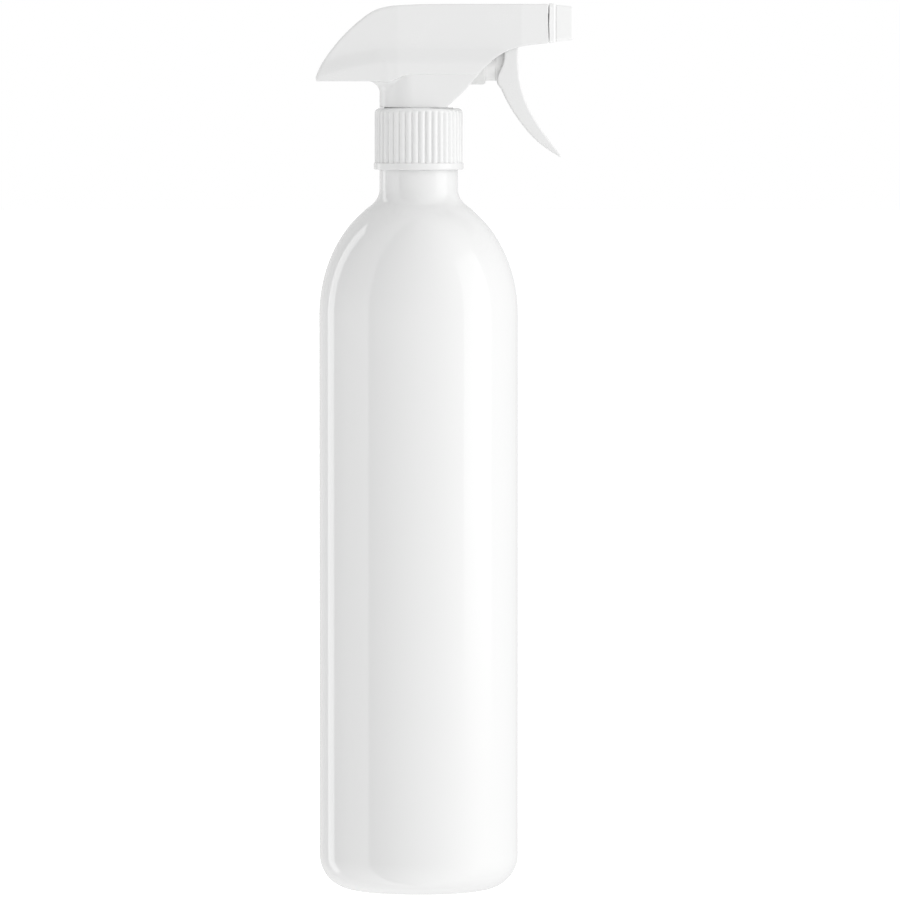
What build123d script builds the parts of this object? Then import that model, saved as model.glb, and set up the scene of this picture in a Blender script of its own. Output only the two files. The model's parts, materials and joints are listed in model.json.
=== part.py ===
from build123d import *
import os
from math import acos, asin, cos, degrees, sin, sqrt

# A one-litre trigger spray bottle, in millimetres. +Z is up, +X points where the nozzle
# sprays, and the origin is on the bottle's axis, on the surface that it stands on.

os.makedirs("parts", exist_ok=True)

# ---------------------------------------------------------------- driving dimensions
# Bottle
BODY_R = 37.5
HEEL_R = 13.0
PUSH_UP_R = 19.5
PUSH_UP = 4.0
SHOULDER_Z = 216.5
SHOULDER_RISE = 47.3
SHOULDER_STEPS = 5
BOTTLE_WALL = 1.0
NECK_R = 14.75
NECK_FILLET = 8.0
NECK_WALL = 1.4
NECK_TOP_Z = 272.8
FINISH_R = 12.45
BORE_R = 10.9
LAND_Z = 289.3

# Screw thread of the 28 mm neck finish
PITCH = 4.23
THREAD_TURNS = 1.5
THREAD_Z = 279.6
BOTTLE_CREST_R = 13.7
CLOSURE_CREST_R = 12.95
RIDGE_ROOT = 2.2
RIDGE_CREST = 1.1
ROOT_BITE = 0.3
THREAD_START = 40.0

# Closure
CLOSURE_Z = 271.5
CLOSURE_TOP_Z = 294.6
CLOSURE_R = 16.6
BAND_R = 16.9
BAND_H = 2.6
CLOSURE_INNER_R = 14.2
MOUTH_R = 15.2
MOUTH_H = 2.0
PLATE_T = 1.8
PLATE_HOLE_R = 11.4
RIB_COUNT = 40
GROOVE_W = 0.75
GROOVE_DEPTH = 0.6
CLOSURE_ROUND = 2.0

# Neck stack between the bottle's land and the closure's plate
GASKET_T = 1.5
FLANGE_T = 1.9
STACK_R = 12.6
HUB_R = 10.9
HUB_TOP_Z = 296.4
SPIGOT_R = 8.9
SPIGOT_Z = 287.5
SHOULDER_T = 2.0
SHOULDER_R = 10.4

# Pump: a vertical column on the bottle's axis, and a barrel that lies along X
COLUMN_R = 6.25
COLUMN_Z = 284.0
BARREL_Z = 311.3
BARREL_X = 3.0
BARREL_MOUTH_X = 25.1
BARREL_R = 7.8
BARREL_BORE_R = 6.7
BARREL_BACK = 1.5
MOUTH_BEVEL = 0.6
WEB_HALF = 0.7
WEB_FOOT_X = 23.1
WEB_TOP_X = 31.1
PORT_R = 1.0
PORT_Z = 307.5
CHANNEL_R = 1.5
DELIVERY_R = 1.7
LUG_X = 8.0
LUG_LENGTH = 3.0
LUG_H = 2.0
LUG_HEIGHTS = (301.3, 321.4)
FIT = 0.05
CLEARANCE = 0.3
PRESS_GAP = 0.02

# Inlet valve in the column, above the dip tube
TUBE_R = 3.0
TUBE_BORE_R = 2.2
TUBE_Z = 7.0
SEAT_SLEEVE_R = 3.5
SEAT_SLEEVE_Z = 285.0
SEAT_Z = 297.5
SEAT_T = 1.5
BALL_R = 2.0
BALL_CHAMBER_R = 2.5
BALL_LIFT = 1.2
BALL_STOP_SLOT = 1.0

# Nozzle tube above the barrel, with the outlet valve and the swirl core in it
NOZZLE_Z = 326.5
TUBE_BACK_X = -4.2
RISER_R = 3.4
NOZZLE_TUBE_R = 3.75
HUB_X = 49.0
HUB_END_X = 55.6
NOSE_R = 4.4
BEAD_X = 50.6
BEAD_R = 4.75
BEAD_L = 0.5
SEAL_GROOVE_X = 53.4
SEAL_GROOVE_L = 1.2
SEAL_GROOVE_R = 3.3
SEAL_MEAN_R = 3.85
SEAL_RING_R = 0.52

# Outlet valve, its spring and the swirl core, in the nozzle tube
VALVE_SEAT_X = 36.0
VALVE_CHAMBER_R = 2.4
VALVE_TIP_X = 35.4
VALVE_TIP_R = 1.1
VALVE_FLANGE_X = 36.7
VALVE_FLANGE_R = 2.2
VALVE_BACK_X = 37.7
VALVE_STEM_R = 0.9
VALVE_STEM_X = 40.2
VALVE_SPRING_R = 1.55
VALVE_WIRE_R = 0.2
VALVE_COILS = 6
CORE_X = 46.0
CORE_SLOTS = 3
CORE_SLOT_W = 0.9
CORE_SLOT_H = 1.2
SWIRL_R = 1.0
SWIRL_DEPTH = 0.6

# Trigger
PIVOT_X = 34.8
PIVOT_Z = 324.0
TRUNNION_R = 2.0
TRIGGER_HALF = 8.4
TRIGGER_WALL = 1.2
TRIGGER_FRONT = 1.6
CAM_X = 36.43
CAM_R = 4.43
CAM_HALF = 1.5
CAM_DEPTH = 0.4
EAR_R = 3.8
EAR_SPLIT_Z = 318.2
FRONT_EDGE = ((37.3, 316.8), (37.9, 306.4), (40.5, 296.6), (46.9, 285.6), (53.3, 277.0))
TIP_POINTS = ((53.4, 276.3), (52.8, 276.4))
BACK_EDGE = ((44.9, 281.9), (38.8, 288.6), (34.1, 295.6), (31.1, 301.7))
HOOK = ((29.4, 304.6), (30.9, 309.6), (32.0, 313.4), (32.0, 316.4))
EAR_ROOT = ((31.2, 322.6), (38.5, 322.6))
CHANNEL_X = 20.0
CHANNEL_Z = (270.0, 330.0)
TRIGGER_STEPS = (0, 0.25, 0.5, 0.75, 0.9)

# Piston and its return spring
PISTON_NOSE_X = 31.95
PISTON_BACK_X = 9.5
PISTON_R = 6.45
PISTON_BORE_R = 5.2
PISTON_NOSE_T = 3.5
PISTON_BEVEL = 0.4
SEAL_SEAT_R = 5.7
SEAL_WAIST_R = 6.25
SEAL_LIP = 1.0
SEAL_LENGTH = 6.8
SPRING_WIRE_R = 0.45
SPRING_R = 4.4
SPRING_COILS = 7

# Vent duct from the barrel to the bottle
VENT_X = 12.9
VENT_DOWN_X = 7.4
VENT_Z = 302.0
VENT_R = 0.7
VENT_CROSS_R = 0.9
VENT_BOSS_X = 14.5
VENT_BOSS_Z = 300.0
VENT_BOSS_HALF = 1.9

# Shroud
SHROUD_Z = 294.9
SHROUD_HALF = 10.0
SHROUD_WALL = 1.2
SHROUD_FRONT_X = 48.6
SHROUD_FRONT_Z = 319.0
SHROUD_TOP_Z = 333.7
SHROUD_SLOT = 0.5
SHROUD_NECK_R = 12.9
SHROUD_NECK_X = -1.8
SHROUD_NECK_FRONT_X = 10.8
NECK_FLAT_L = 30.0
NECK_FLATS_Z = 307.4
FLARE_Z = 311.0
FLARE_TOP_Z = 316.5
TAIL_UNDER_Z = 304.7
TAIL_X = -38.6
TAIL_TIP = (TAIL_X, 306.3)
TAIL_FOOT = (-38.2, TAIL_UNDER_Z)
TAIL_FILLET = 4.5
WEB_X = -19.6
TAIL_RIBS = 3
TAIL_RIB_T = 1.2
FLARE_ANGLE = 27.5
SKIRT_PLAN = ((-40.0, 9.6), (-8.0, 12.9), (40.0, 12.9))
BODY_PLAN = ((-40.0, 7.4), (-8.0, 10.0), (38.5, 10.0), (SHROUD_FRONT_X, 8.8))
SPINE = ((-37.4, 309.3), (-33.7, 315.3), (-28.8, 321.3), (-22.4, 327.3), (-15.3, 331.8))
SPINE_END = (-9.3, 333.1)
SPINE_STEPS = (0.02, 0.2, 0.4, 0.6, 0.8, 1)
OPENING = ((39.5, 317.9), (32.8, 315.8), (25.4, 310.4), (18.4, 302.5), (10.8, 295.3))

# Nozzle collar and cap, both square in section
COLLAR_X = 49.1
COLLAR_END_X = 51.6
COLLAR_SIDE = 14.8
COLLAR_BEVEL = 0.45
CAP_END_X = 58.4
CAP_REAR_SIDE = 13.9
CAP_FRONT_SIDE = 12.4
CAP_BEVEL = 0.4
DISH_R = 2.6
DISH_DEPTH = 0.8
CORNER_R = 1.3
ORIFICE_R = 0.25
INSERT_R = 1.6
INSERT_X = 56.0


# ---------------------------------------------------------------- shared shapes
def along_x(x, z=0.0):
    """A plane whose normal is +X, with its origin at (x, 0, z)."""
    return Plane(origin=(x, 0, z), x_dir=(0, 1, 0), z_dir=(1, 0, 0))


def across(half):
    """The XZ plane moved to y = +half, so that a depth of 2 * half is centred on it."""
    return Plane.XZ.offset(-half)


def thread_ridge(root, crest, start_z):
    """One helical ridge of trapezium section, from its root radius to its crest radius."""
    outwards = 1 if crest > root else -1
    bottom = root - outwards * ROOT_BITE
    with BuildPart() as ridge:
        with BuildLine() as path:
            Helix(PITCH, PITCH * THREAD_TURNS, root, center=(0, 0, start_z))
        start = Plane(origin=path.line @ 0, x_dir=(1, 0, 0), z_dir=path.line % 0)
        with BuildSketch(start):
            with BuildLine():
                Polyline(
                    (bottom - root, -RIDGE_ROOT / 2),
                    (crest - root, -RIDGE_CREST / 2),
                    (crest - root, RIDGE_CREST / 2),
                    (bottom - root, RIDGE_ROOT / 2),
                    close=True,
                )
            make_face()
        sweep(path=path.line, is_frenet=True)
    return ridge.part.rotate(Axis.Z, THREAD_START)


def coil_spring(start, end, z, mean_r, wire_r, coils):
    """A compression spring along X, from one end face to the other."""
    length = end - start - 2 * wire_r
    with BuildPart() as spring:
        with BuildLine() as path:
            Helix(length / coils, length, mean_r, center=(start + wire_r, 0, z), direction=(1, 0, 0))
        with BuildSketch(Plane(origin=path.line @ 0, z_dir=path.line % 0)):
            Circle(wire_r)
        sweep(path=path.line, is_frenet=True)
    return spring.part


def save(builder, name):
    """Label a finished piece and write its STEP file."""
    builder.part.label = name
    export_step(builder.part, f"parts/{name}.step")


# ---------------------------------------------------------------- bottle
DOME_R = (PUSH_UP_R**2 + PUSH_UP**2) / (2 * PUSH_UP)
DOME_ANGLE = degrees(asin(PUSH_UP_R / DOME_R))


def shoulder_curve(radius, rise, end_r):
    """A quarter-ellipse from the top of the bottle's wall, cut off at end_r."""
    last = acos(end_r / radius)
    angles = [last * step / SHOULDER_STEPS for step in range(SHOULDER_STEPS + 1)]
    points = [(radius * cos(a), SHOULDER_Z + rise * sin(a)) for a in angles]
    return Spline(*points, tangents=[(0, 1), (-radius * sin(last), rise * cos(last))])


def bottle_outside():
    """Half section of the bottle's outer skin, closed along its axis."""
    foot_r = BODY_R - HEEL_R
    with BuildSketch() as section:
        with BuildLine():
            CenterArc((0, PUSH_UP - DOME_R), DOME_R, 90 - DOME_ANGLE, DOME_ANGLE)
            Line((PUSH_UP_R, 0), (foot_r, 0))
            CenterArc((foot_r, HEEL_R), HEEL_R, -90, 90)
            Line((BODY_R, HEEL_R), (BODY_R, SHOULDER_Z))
            shoulder = shoulder_curve(BODY_R, SHOULDER_RISE, NECK_R)
            Polyline(
                shoulder @ 1,
                (NECK_R, NECK_TOP_Z),
                (FINISH_R, NECK_TOP_Z),
                (FINISH_R, LAND_Z),
                (0, LAND_Z),
                (0, PUSH_UP),
            )
        make_face()
        fillet(section.vertices().sort_by_distance(shoulder @ 1)[0], NECK_FILLET)
    return section.sketch


def bottle_inside():
    """Half section of the space inside the bottle, open through the neck."""
    inner_r = BODY_R - BOTTLE_WALL
    rise = SHOULDER_RISE - BOTTLE_WALL
    neck_r = NECK_R - NECK_WALL
    foot_r = BODY_R - HEEL_R
    with BuildSketch() as section:
        with BuildLine():
            dome = CenterArc(
                (0, PUSH_UP - DOME_R), DOME_R + BOTTLE_WALL, 90 - DOME_ANGLE, DOME_ANGLE
            )
            Line(dome @ 0, (foot_r, BOTTLE_WALL))
            CenterArc((foot_r, HEEL_R), HEEL_R - BOTTLE_WALL, -90, 90)
            Line((inner_r, HEEL_R), (inner_r, SHOULDER_Z))
            shoulder = shoulder_curve(inner_r, rise, neck_r)
            Polyline(
                shoulder @ 1,
                (neck_r, NECK_TOP_Z - NECK_WALL),
                (BORE_R, NECK_TOP_Z + NECK_WALL),
                (BORE_R, LAND_Z + GASKET_T),
                (0, LAND_Z + GASKET_T),
                dome @ 1,
            )
        make_face()
        fillet(section.vertices().sort_by_distance(shoulder @ 1)[0], NECK_FILLET)
    return section.sketch


bottle_ridge = thread_ridge(FINISH_R, BOTTLE_CREST_R, THREAD_Z)
with BuildPart() as bottle:
    with BuildSketch(Plane.XZ):
        add(bottle_outside())
    revolve(axis=Axis.Z)
    with BuildSketch(Plane.XZ):
        add(bottle_inside())
    revolve(axis=Axis.Z, mode=Mode.SUBTRACT)
    add(bottle_ridge)
save(bottle, "bottle")


# ---------------------------------------------------------------- closure and neck stack
closure_ridge = thread_ridge(CLOSURE_INNER_R, CLOSURE_CREST_R, THREAD_Z - PITCH / 2)
with BuildPart() as closure:
    with BuildSketch(Plane.XY.offset(CLOSURE_Z)):
        Circle(CLOSURE_R)
    extrude(amount=CLOSURE_TOP_Z - CLOSURE_Z)
    fillet(closure.edges().sort_by(Axis.Z)[-1], CLOSURE_ROUND)
    with BuildSketch(Plane.XY.offset(CLOSURE_Z)):
        Circle(BAND_R)
    extrude(amount=BAND_H)
    with BuildSketch(Plane.XY.offset(CLOSURE_Z + BAND_H)):
        with PolarLocations(CLOSURE_R, RIB_COUNT):
            Rectangle(2 * GROOVE_DEPTH, GROOVE_W)
    extrude(until=Until.LAST, mode=Mode.SUBTRACT)
    with BuildSketch(Plane.XY.offset(CLOSURE_Z)):
        Circle(CLOSURE_INNER_R)
    extrude(amount=CLOSURE_TOP_Z - PLATE_T - CLOSURE_Z, mode=Mode.SUBTRACT)
    with BuildSketch(Plane.XY.offset(CLOSURE_Z)):
        Circle(MOUTH_R)
    extrude(amount=MOUTH_H, mode=Mode.SUBTRACT)
    with BuildSketch(Plane.XY.offset(CLOSURE_Z)):
        Circle(PLATE_HOLE_R)
    extrude(amount=CLOSURE_TOP_Z - CLOSURE_Z, mode=Mode.SUBTRACT)
    add(closure_ridge)
save(closure, "closure")

with BuildPart() as neck_gasket:
    with BuildSketch(Plane.XY.offset(LAND_Z)):
        Circle(STACK_R)
        Circle(SPIGOT_R + 2 * FIT, mode=Mode.SUBTRACT)
    extrude(amount=GASKET_T)
save(neck_gasket, "neck_gasket")

with BuildPart() as retainer_ring:
    with BuildSketch(Plane.XY.offset(LAND_Z + GASKET_T)):
        Circle(STACK_R)
    extrude(amount=FLANGE_T)
    with BuildSketch(Plane.XY.offset(LAND_Z + GASKET_T)):
        Circle(HUB_R)
    extrude(amount=HUB_TOP_Z - LAND_Z - GASKET_T)
    chamfer(retainer_ring.edges().sort_by(Axis.Z)[-1], HUB_R - SHOULDER_R)
    with BuildSketch(Plane.XY.offset(LAND_Z + GASKET_T)):
        Circle(SPIGOT_R + FIT)
    extrude(amount=HUB_TOP_Z - LAND_Z - GASKET_T, mode=Mode.SUBTRACT)
save(retainer_ring, "retainer_ring")


# ---------------------------------------------------------------- pump body
bore_x = BARREL_X + BARREL_BACK
ball_seating = sqrt(BALL_R**2 - CHANNEL_R**2)
ball_z = SEAT_Z + ball_seating + FIT / 2
chamber_top_z = ball_z + BALL_LIFT + ball_seating

with BuildPart() as pump_body:
    # Column, with the spigot that the retainer ring holds and its shoulder
    with BuildSketch(Plane.XY.offset(COLUMN_Z)):
        Circle(COLUMN_R)
    extrude(amount=BARREL_Z - COLUMN_Z)
    with BuildSketch(Plane.XY.offset(SPIGOT_Z)):
        Circle(SPIGOT_R)
    extrude(amount=HUB_TOP_Z - SPIGOT_Z)
    with BuildSketch(Plane.XY.offset(HUB_TOP_Z)):
        Circle(SHOULDER_R)
    extrude(amount=SHOULDER_T)
    with BuildSketch(Plane.XY.offset(BARREL_Z)):
        Circle(RISER_R)
    extrude(amount=NOZZLE_Z - BARREL_Z)
    # Barrel, nozzle tube and the web between them
    with BuildSketch(along_x(BARREL_X, BARREL_Z)):
        Circle(BARREL_R)
    extrude(amount=BARREL_MOUTH_X - BARREL_X)
    chamfer(pump_body.edges().filter_by(GeomType.CIRCLE).sort_by(Axis.X)[-1], MOUTH_BEVEL)
    with BuildSketch(along_x(0, BARREL_Z)):
        Circle(COLUMN_R)
    extrude(amount=BARREL_X)
    with BuildSketch(along_x(TUBE_BACK_X, NOZZLE_Z)):
        Circle(NOZZLE_TUBE_R)
    extrude(amount=HUB_X - TUBE_BACK_X)
    with BuildSketch(Plane.XZ):
        with BuildLine():
            Polyline(
                (0, BARREL_Z),
                (WEB_FOOT_X, BARREL_Z + BARREL_BORE_R),
                (WEB_TOP_X, NOZZLE_Z - VALVE_CHAMBER_R),
                (0, NOZZLE_Z),
                close=True,
            )
        make_face()
    extrude(amount=WEB_HALF, both=True)
    # Nose of the nozzle tube, with the bead that keeps the collar on and a seal groove
    with BuildSketch(along_x(HUB_X, NOZZLE_Z)):
        Circle(NOSE_R)
    extrude(amount=HUB_END_X - HUB_X)
    with BuildSketch(along_x(BEAD_X, NOZZLE_Z)):
        Circle(BEAD_R)
    extrude(amount=BEAD_L)
    # Trunnions for the trigger
    with BuildSketch(Plane.XZ):
        with Locations((PIVOT_X, PIVOT_Z)):
            Circle(TRUNNION_R)
    extrude(amount=TRIGGER_HALF, both=True)
    # Lugs that snap into the shroud's sides
    with BuildSketch(Plane.XZ):
        with Locations(*[(LUG_X, z) for z in LUG_HEIGHTS]):
            Rectangle(LUG_LENGTH, LUG_H)
    extrude(amount=SHROUD_HALF - SHROUD_WALL - CLEARANCE, both=True)
    # Boss for the vent duct, under the barrel
    with BuildSketch(Plane.XZ):
        with BuildLine():
            Polyline(
                (0, VENT_BOSS_Z),
                (VENT_BOSS_X, VENT_BOSS_Z),
                (VENT_BOSS_X, BARREL_Z - BARREL_BORE_R - PORT_R),
                (0, BARREL_Z - BARREL_BORE_R - PORT_R),
                close=True,
            )
        make_face()
    extrude(amount=VENT_BOSS_HALF, both=True)

    # Bores
    with BuildSketch(along_x(bore_x, BARREL_Z)):
        Circle(BARREL_BORE_R)
    extrude(amount=BARREL_MOUTH_X - bore_x, mode=Mode.SUBTRACT)
    with BuildSketch(Plane.XY.offset(COLUMN_Z)):
        Circle(SEAT_SLEEVE_R)
    extrude(amount=SEAT_Z - COLUMN_Z, mode=Mode.SUBTRACT)
    with BuildSketch(Plane.XY.offset(SEAT_Z)):
        Circle(BALL_CHAMBER_R)
    extrude(amount=chamber_top_z - SEAT_Z, mode=Mode.SUBTRACT)
    with BuildSketch(Plane.XY.offset(chamber_top_z)):
        Rectangle(2 * BALL_CHAMBER_R, BALL_STOP_SLOT)
    extrude(amount=BALL_STOP_SLOT, mode=Mode.SUBTRACT)
    with BuildSketch(Plane.XY.offset(chamber_top_z)):
        Circle(CHANNEL_R)
    extrude(amount=NOZZLE_Z - chamber_top_z, mode=Mode.SUBTRACT)
    with BuildSketch(along_x(-DELIVERY_R - FIT, NOZZLE_Z)):
        Circle(DELIVERY_R)
    extrude(amount=VALVE_SEAT_X + DELIVERY_R + FIT, mode=Mode.SUBTRACT)
    with BuildSketch(along_x(VALVE_SEAT_X, NOZZLE_Z)):
        Circle(VALVE_CHAMBER_R)
    extrude(amount=HUB_END_X - VALVE_SEAT_X, mode=Mode.SUBTRACT)
    # Port from the channel into the barrel
    with BuildSketch(along_x(0, PORT_Z)):
        Circle(PORT_R)
    extrude(amount=bore_x + PORT_R, mode=Mode.SUBTRACT)
    # Vent: down from the barrel, back along X, and down through the spigot
    with BuildSketch(Plane.XY.offset(VENT_Z - VENT_R)):
        with Locations((VENT_X, 0)):
            Circle(VENT_R)
    extrude(amount=BARREL_Z - BARREL_BORE_R - VENT_Z + 2 * VENT_R, mode=Mode.SUBTRACT)
    with BuildSketch(along_x(VENT_DOWN_X - VENT_CROSS_R, VENT_Z)):
        Circle(VENT_CROSS_R)
    extrude(amount=VENT_X - VENT_DOWN_X + 2 * VENT_CROSS_R, mode=Mode.SUBTRACT)
    with BuildSketch(Plane.XY.offset(SPIGOT_Z)):
        with Locations((VENT_DOWN_X, 0)):
            Circle(VENT_R)
    extrude(amount=VENT_Z + VENT_R - SPIGOT_Z, mode=Mode.SUBTRACT)
    # Seal groove round the nose
    with BuildSketch(along_x(SEAL_GROOVE_X, NOZZLE_Z)):
        Circle(NOSE_R + 1)
        Circle(SEAL_GROOVE_R, mode=Mode.SUBTRACT)
    extrude(amount=SEAL_GROOVE_L, mode=Mode.SUBTRACT)
save(pump_body, "pump_body")


# ---------------------------------------------------------------- dip tube and inlet valve
def tube(start_z, end_z, outer_r, inner_r):
    """A plain tube on the bottle's axis."""
    with BuildPart() as pipe:
        with BuildSketch(Plane.XY.offset(start_z)):
            Circle(outer_r)
            Circle(inner_r, mode=Mode.SUBTRACT)
        extrude(amount=end_z - start_z)
    return pipe


dip_tube = tube(TUBE_Z, SEAT_Z - SEAT_T, TUBE_R, TUBE_BORE_R)
save(dip_tube, "dip_tube")

with BuildPart() as inlet_seat:
    add(tube(SEAT_SLEEVE_Z, SEAT_Z, SEAT_SLEEVE_R - PRESS_GAP, TUBE_R + PRESS_GAP).part)
    add(tube(SEAT_Z - SEAT_T, SEAT_Z, SEAT_SLEEVE_R - PRESS_GAP, CHANNEL_R).part)
save(inlet_seat, "inlet_seat")

with BuildPart() as inlet_ball:
    with BuildSketch(Plane.XZ) as half_ball:
        with BuildLine():
            CenterArc((0, ball_z), BALL_R, -90, 180)
            Line((0, ball_z + BALL_R), (0, ball_z - BALL_R))
        make_face()
    revolve(axis=Axis.Z)
save(inlet_ball, "inlet_ball")


# ---------------------------------------------------------------- piston and its spring
spring_end_x = PISTON_NOSE_X - PISTON_NOSE_T
with BuildPart() as piston:
    with BuildSketch(along_x(PISTON_BACK_X, BARREL_Z)):
        Circle(PISTON_R)
    extrude(amount=PISTON_NOSE_X - PISTON_BACK_X)
    chamfer(piston.edges().sort_by(Axis.X)[-1], PISTON_BEVEL)
    with BuildSketch(along_x(PISTON_BACK_X, BARREL_Z)):
        Circle(PISTON_R + 1)
        Circle(SEAL_SEAT_R, mode=Mode.SUBTRACT)
    extrude(amount=SEAL_LENGTH, mode=Mode.SUBTRACT)
    with BuildSketch(along_x(PISTON_BACK_X, BARREL_Z)):
        Circle(PISTON_BORE_R)
    extrude(amount=spring_end_x - PISTON_BACK_X, mode=Mode.SUBTRACT)
save(piston, "piston")

with BuildPart() as piston_seal:
    with BuildSketch(along_x(PISTON_BACK_X, BARREL_Z)):
        Circle(BARREL_BORE_R - FIT)
        Circle(SEAL_SEAT_R + PRESS_GAP, mode=Mode.SUBTRACT)
    extrude(amount=SEAL_LENGTH - PRESS_GAP)
    with BuildSketch(along_x(PISTON_BACK_X + SEAL_LIP, BARREL_Z)):
        Circle(BARREL_BORE_R)
        Circle(SEAL_WAIST_R, mode=Mode.SUBTRACT)
    extrude(amount=SEAL_LENGTH - 2 * SEAL_LIP, mode=Mode.SUBTRACT)
save(piston_seal, "piston_seal")

with BuildPart() as return_spring:
    ends = (bore_x + PRESS_GAP, spring_end_x - PRESS_GAP)
    add(coil_spring(*ends, BARREL_Z, SPRING_R, SPRING_WIRE_R, SPRING_COILS))
save(return_spring, "return_spring")


# ---------------------------------------------------------------- outlet valve and nozzle
with BuildPart() as outlet_valve:
    with BuildSketch(Plane.XZ) as half_poppet:
        with BuildLine():
            Polyline(
                (VALVE_TIP_X, NOZZLE_Z),
                (VALVE_TIP_X, NOZZLE_Z + VALVE_TIP_R),
                (VALVE_FLANGE_X, NOZZLE_Z + VALVE_FLANGE_R),
                (VALVE_BACK_X, NOZZLE_Z + VALVE_FLANGE_R),
                (VALVE_BACK_X, NOZZLE_Z + VALVE_STEM_R),
                (VALVE_STEM_X, NOZZLE_Z + VALVE_STEM_R),
                (VALVE_STEM_X, NOZZLE_Z),
                close=True,
            )
        make_face()
    revolve(axis=Axis((0, 0, NOZZLE_Z), (1, 0, 0)))
save(outlet_valve, "outlet_valve")

with BuildPart() as outlet_spring:
    ends = (VALVE_BACK_X + PRESS_GAP, CORE_X - PRESS_GAP)
    add(coil_spring(*ends, NOZZLE_Z, VALVE_SPRING_R, VALVE_WIRE_R, VALVE_COILS))
save(outlet_spring, "outlet_spring")

with BuildPart() as swirl_core:
    with BuildSketch(along_x(CORE_X, NOZZLE_Z)):
        Circle(VALVE_CHAMBER_R - PRESS_GAP)
    extrude(amount=HUB_END_X - CORE_X)
    with BuildSketch(along_x(CORE_X, NOZZLE_Z)):
        with PolarLocations(VALVE_CHAMBER_R, CORE_SLOTS):
            Rectangle(CORE_SLOT_H, CORE_SLOT_W)
    extrude(amount=HUB_END_X - CORE_X, mode=Mode.SUBTRACT)
    with BuildSketch(along_x(HUB_END_X - SWIRL_DEPTH, NOZZLE_Z)):
        Circle(SWIRL_R)
    extrude(amount=SWIRL_DEPTH, mode=Mode.SUBTRACT)
save(swirl_core, "swirl_core")

with BuildPart() as nozzle_seal:
    with BuildSketch(Plane.XZ):
        with Locations((SEAL_GROOVE_X + SEAL_GROOVE_L / 2, NOZZLE_Z + SEAL_MEAN_R)):
            Circle(SEAL_RING_R)
    revolve(axis=Axis((0, 0, NOZZLE_Z), (1, 0, 0)))
save(nozzle_seal, "nozzle_seal")

with BuildPart() as nozzle_collar:
    with BuildSketch(along_x(COLLAR_X, NOZZLE_Z)):
        RectangleRounded(COLLAR_SIDE, COLLAR_SIDE, CORNER_R)
    extrude(amount=COLLAR_END_X - COLLAR_X)
    chamfer(nozzle_collar.faces().sort_by(Axis.X)[-1].edges(), COLLAR_BEVEL)
    with BuildSketch(along_x(COLLAR_X, NOZZLE_Z)):
        Circle(NOSE_R + FIT)
    extrude(amount=COLLAR_END_X - COLLAR_X, mode=Mode.SUBTRACT)
    with BuildSketch(along_x(BEAD_X - 3 * FIT, NOZZLE_Z)):
        Circle(BEAD_R + 2 * FIT)
    extrude(amount=BEAD_L + 6 * FIT, mode=Mode.SUBTRACT)
save(nozzle_collar, "nozzle_collar")

with BuildPart() as nozzle_cap:
    with BuildSketch(along_x(COLLAR_END_X, NOZZLE_Z)):
        RectangleRounded(CAP_REAR_SIDE, CAP_REAR_SIDE, CORNER_R)
    with BuildSketch(along_x(CAP_END_X, NOZZLE_Z)):
        RectangleRounded(CAP_FRONT_SIDE, CAP_FRONT_SIDE, CORNER_R)
    loft()
    chamfer(nozzle_cap.faces().sort_by(Axis.X)[-1].edges(), CAP_BEVEL)
    with BuildSketch(along_x(COLLAR_END_X, NOZZLE_Z)):
        Circle(NOSE_R + FIT)
    extrude(amount=HUB_END_X + CLEARANCE - COLLAR_END_X, mode=Mode.SUBTRACT)
    with BuildSketch(along_x(CAP_END_X - DISH_DEPTH, NOZZLE_Z)):
        Circle(DISH_R)
    extrude(amount=DISH_DEPTH, mode=Mode.SUBTRACT)
    with BuildSketch(along_x(HUB_END_X, NOZZLE_Z)):
        Circle(INSERT_R)
    extrude(amount=CAP_END_X - HUB_END_X, mode=Mode.SUBTRACT)
save(nozzle_cap, "nozzle_cap")

with BuildPart() as orifice_insert:
    with BuildSketch(along_x(INSERT_X, NOZZLE_Z)):
        Circle(INSERT_R - PRESS_GAP)
        Circle(ORIFICE_R, mode=Mode.SUBTRACT)
    extrude(amount=CAP_END_X - DISH_DEPTH - INSERT_X)
save(orifice_insert, "orifice_insert")


# ---------------------------------------------------------------- trigger
def trigger_side():
    """Side outline of the trigger's lever, below its two ears."""
    with BuildSketch() as side:
        with BuildLine():
            front = Spline(*FRONT_EDGE)
            tip = ThreePointArc(front @ 1, *TIP_POINTS)
            back = Spline(tip @ 1, *BACK_EDGE)
            hook = Spline(back @ 1, *HOOK)
            Line(hook @ 1, front @ 0)
        make_face()
    return side.sketch


def trigger_channel():
    """The space behind the lever's front wall, open towards the bottle."""
    with BuildSketch() as side:
        with BuildLine():
            front = Spline(*FRONT_EDGE, mode=Mode.PRIVATE)
            inner = [
                front @ t + (front % t).rotate(Axis.Z, -90) * TRIGGER_FRONT for t in TRIGGER_STEPS
            ]
            wall = Spline(*inner)
            open_side = ((CHANNEL_X, CHANNEL_Z[0]), (CHANNEL_X, CHANNEL_Z[1]))
            Polyline(wall @ 1, *open_side, ((wall @ 0).X, CHANNEL_Z[1]), wall @ 0)
        make_face()
    return side.sketch


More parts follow.
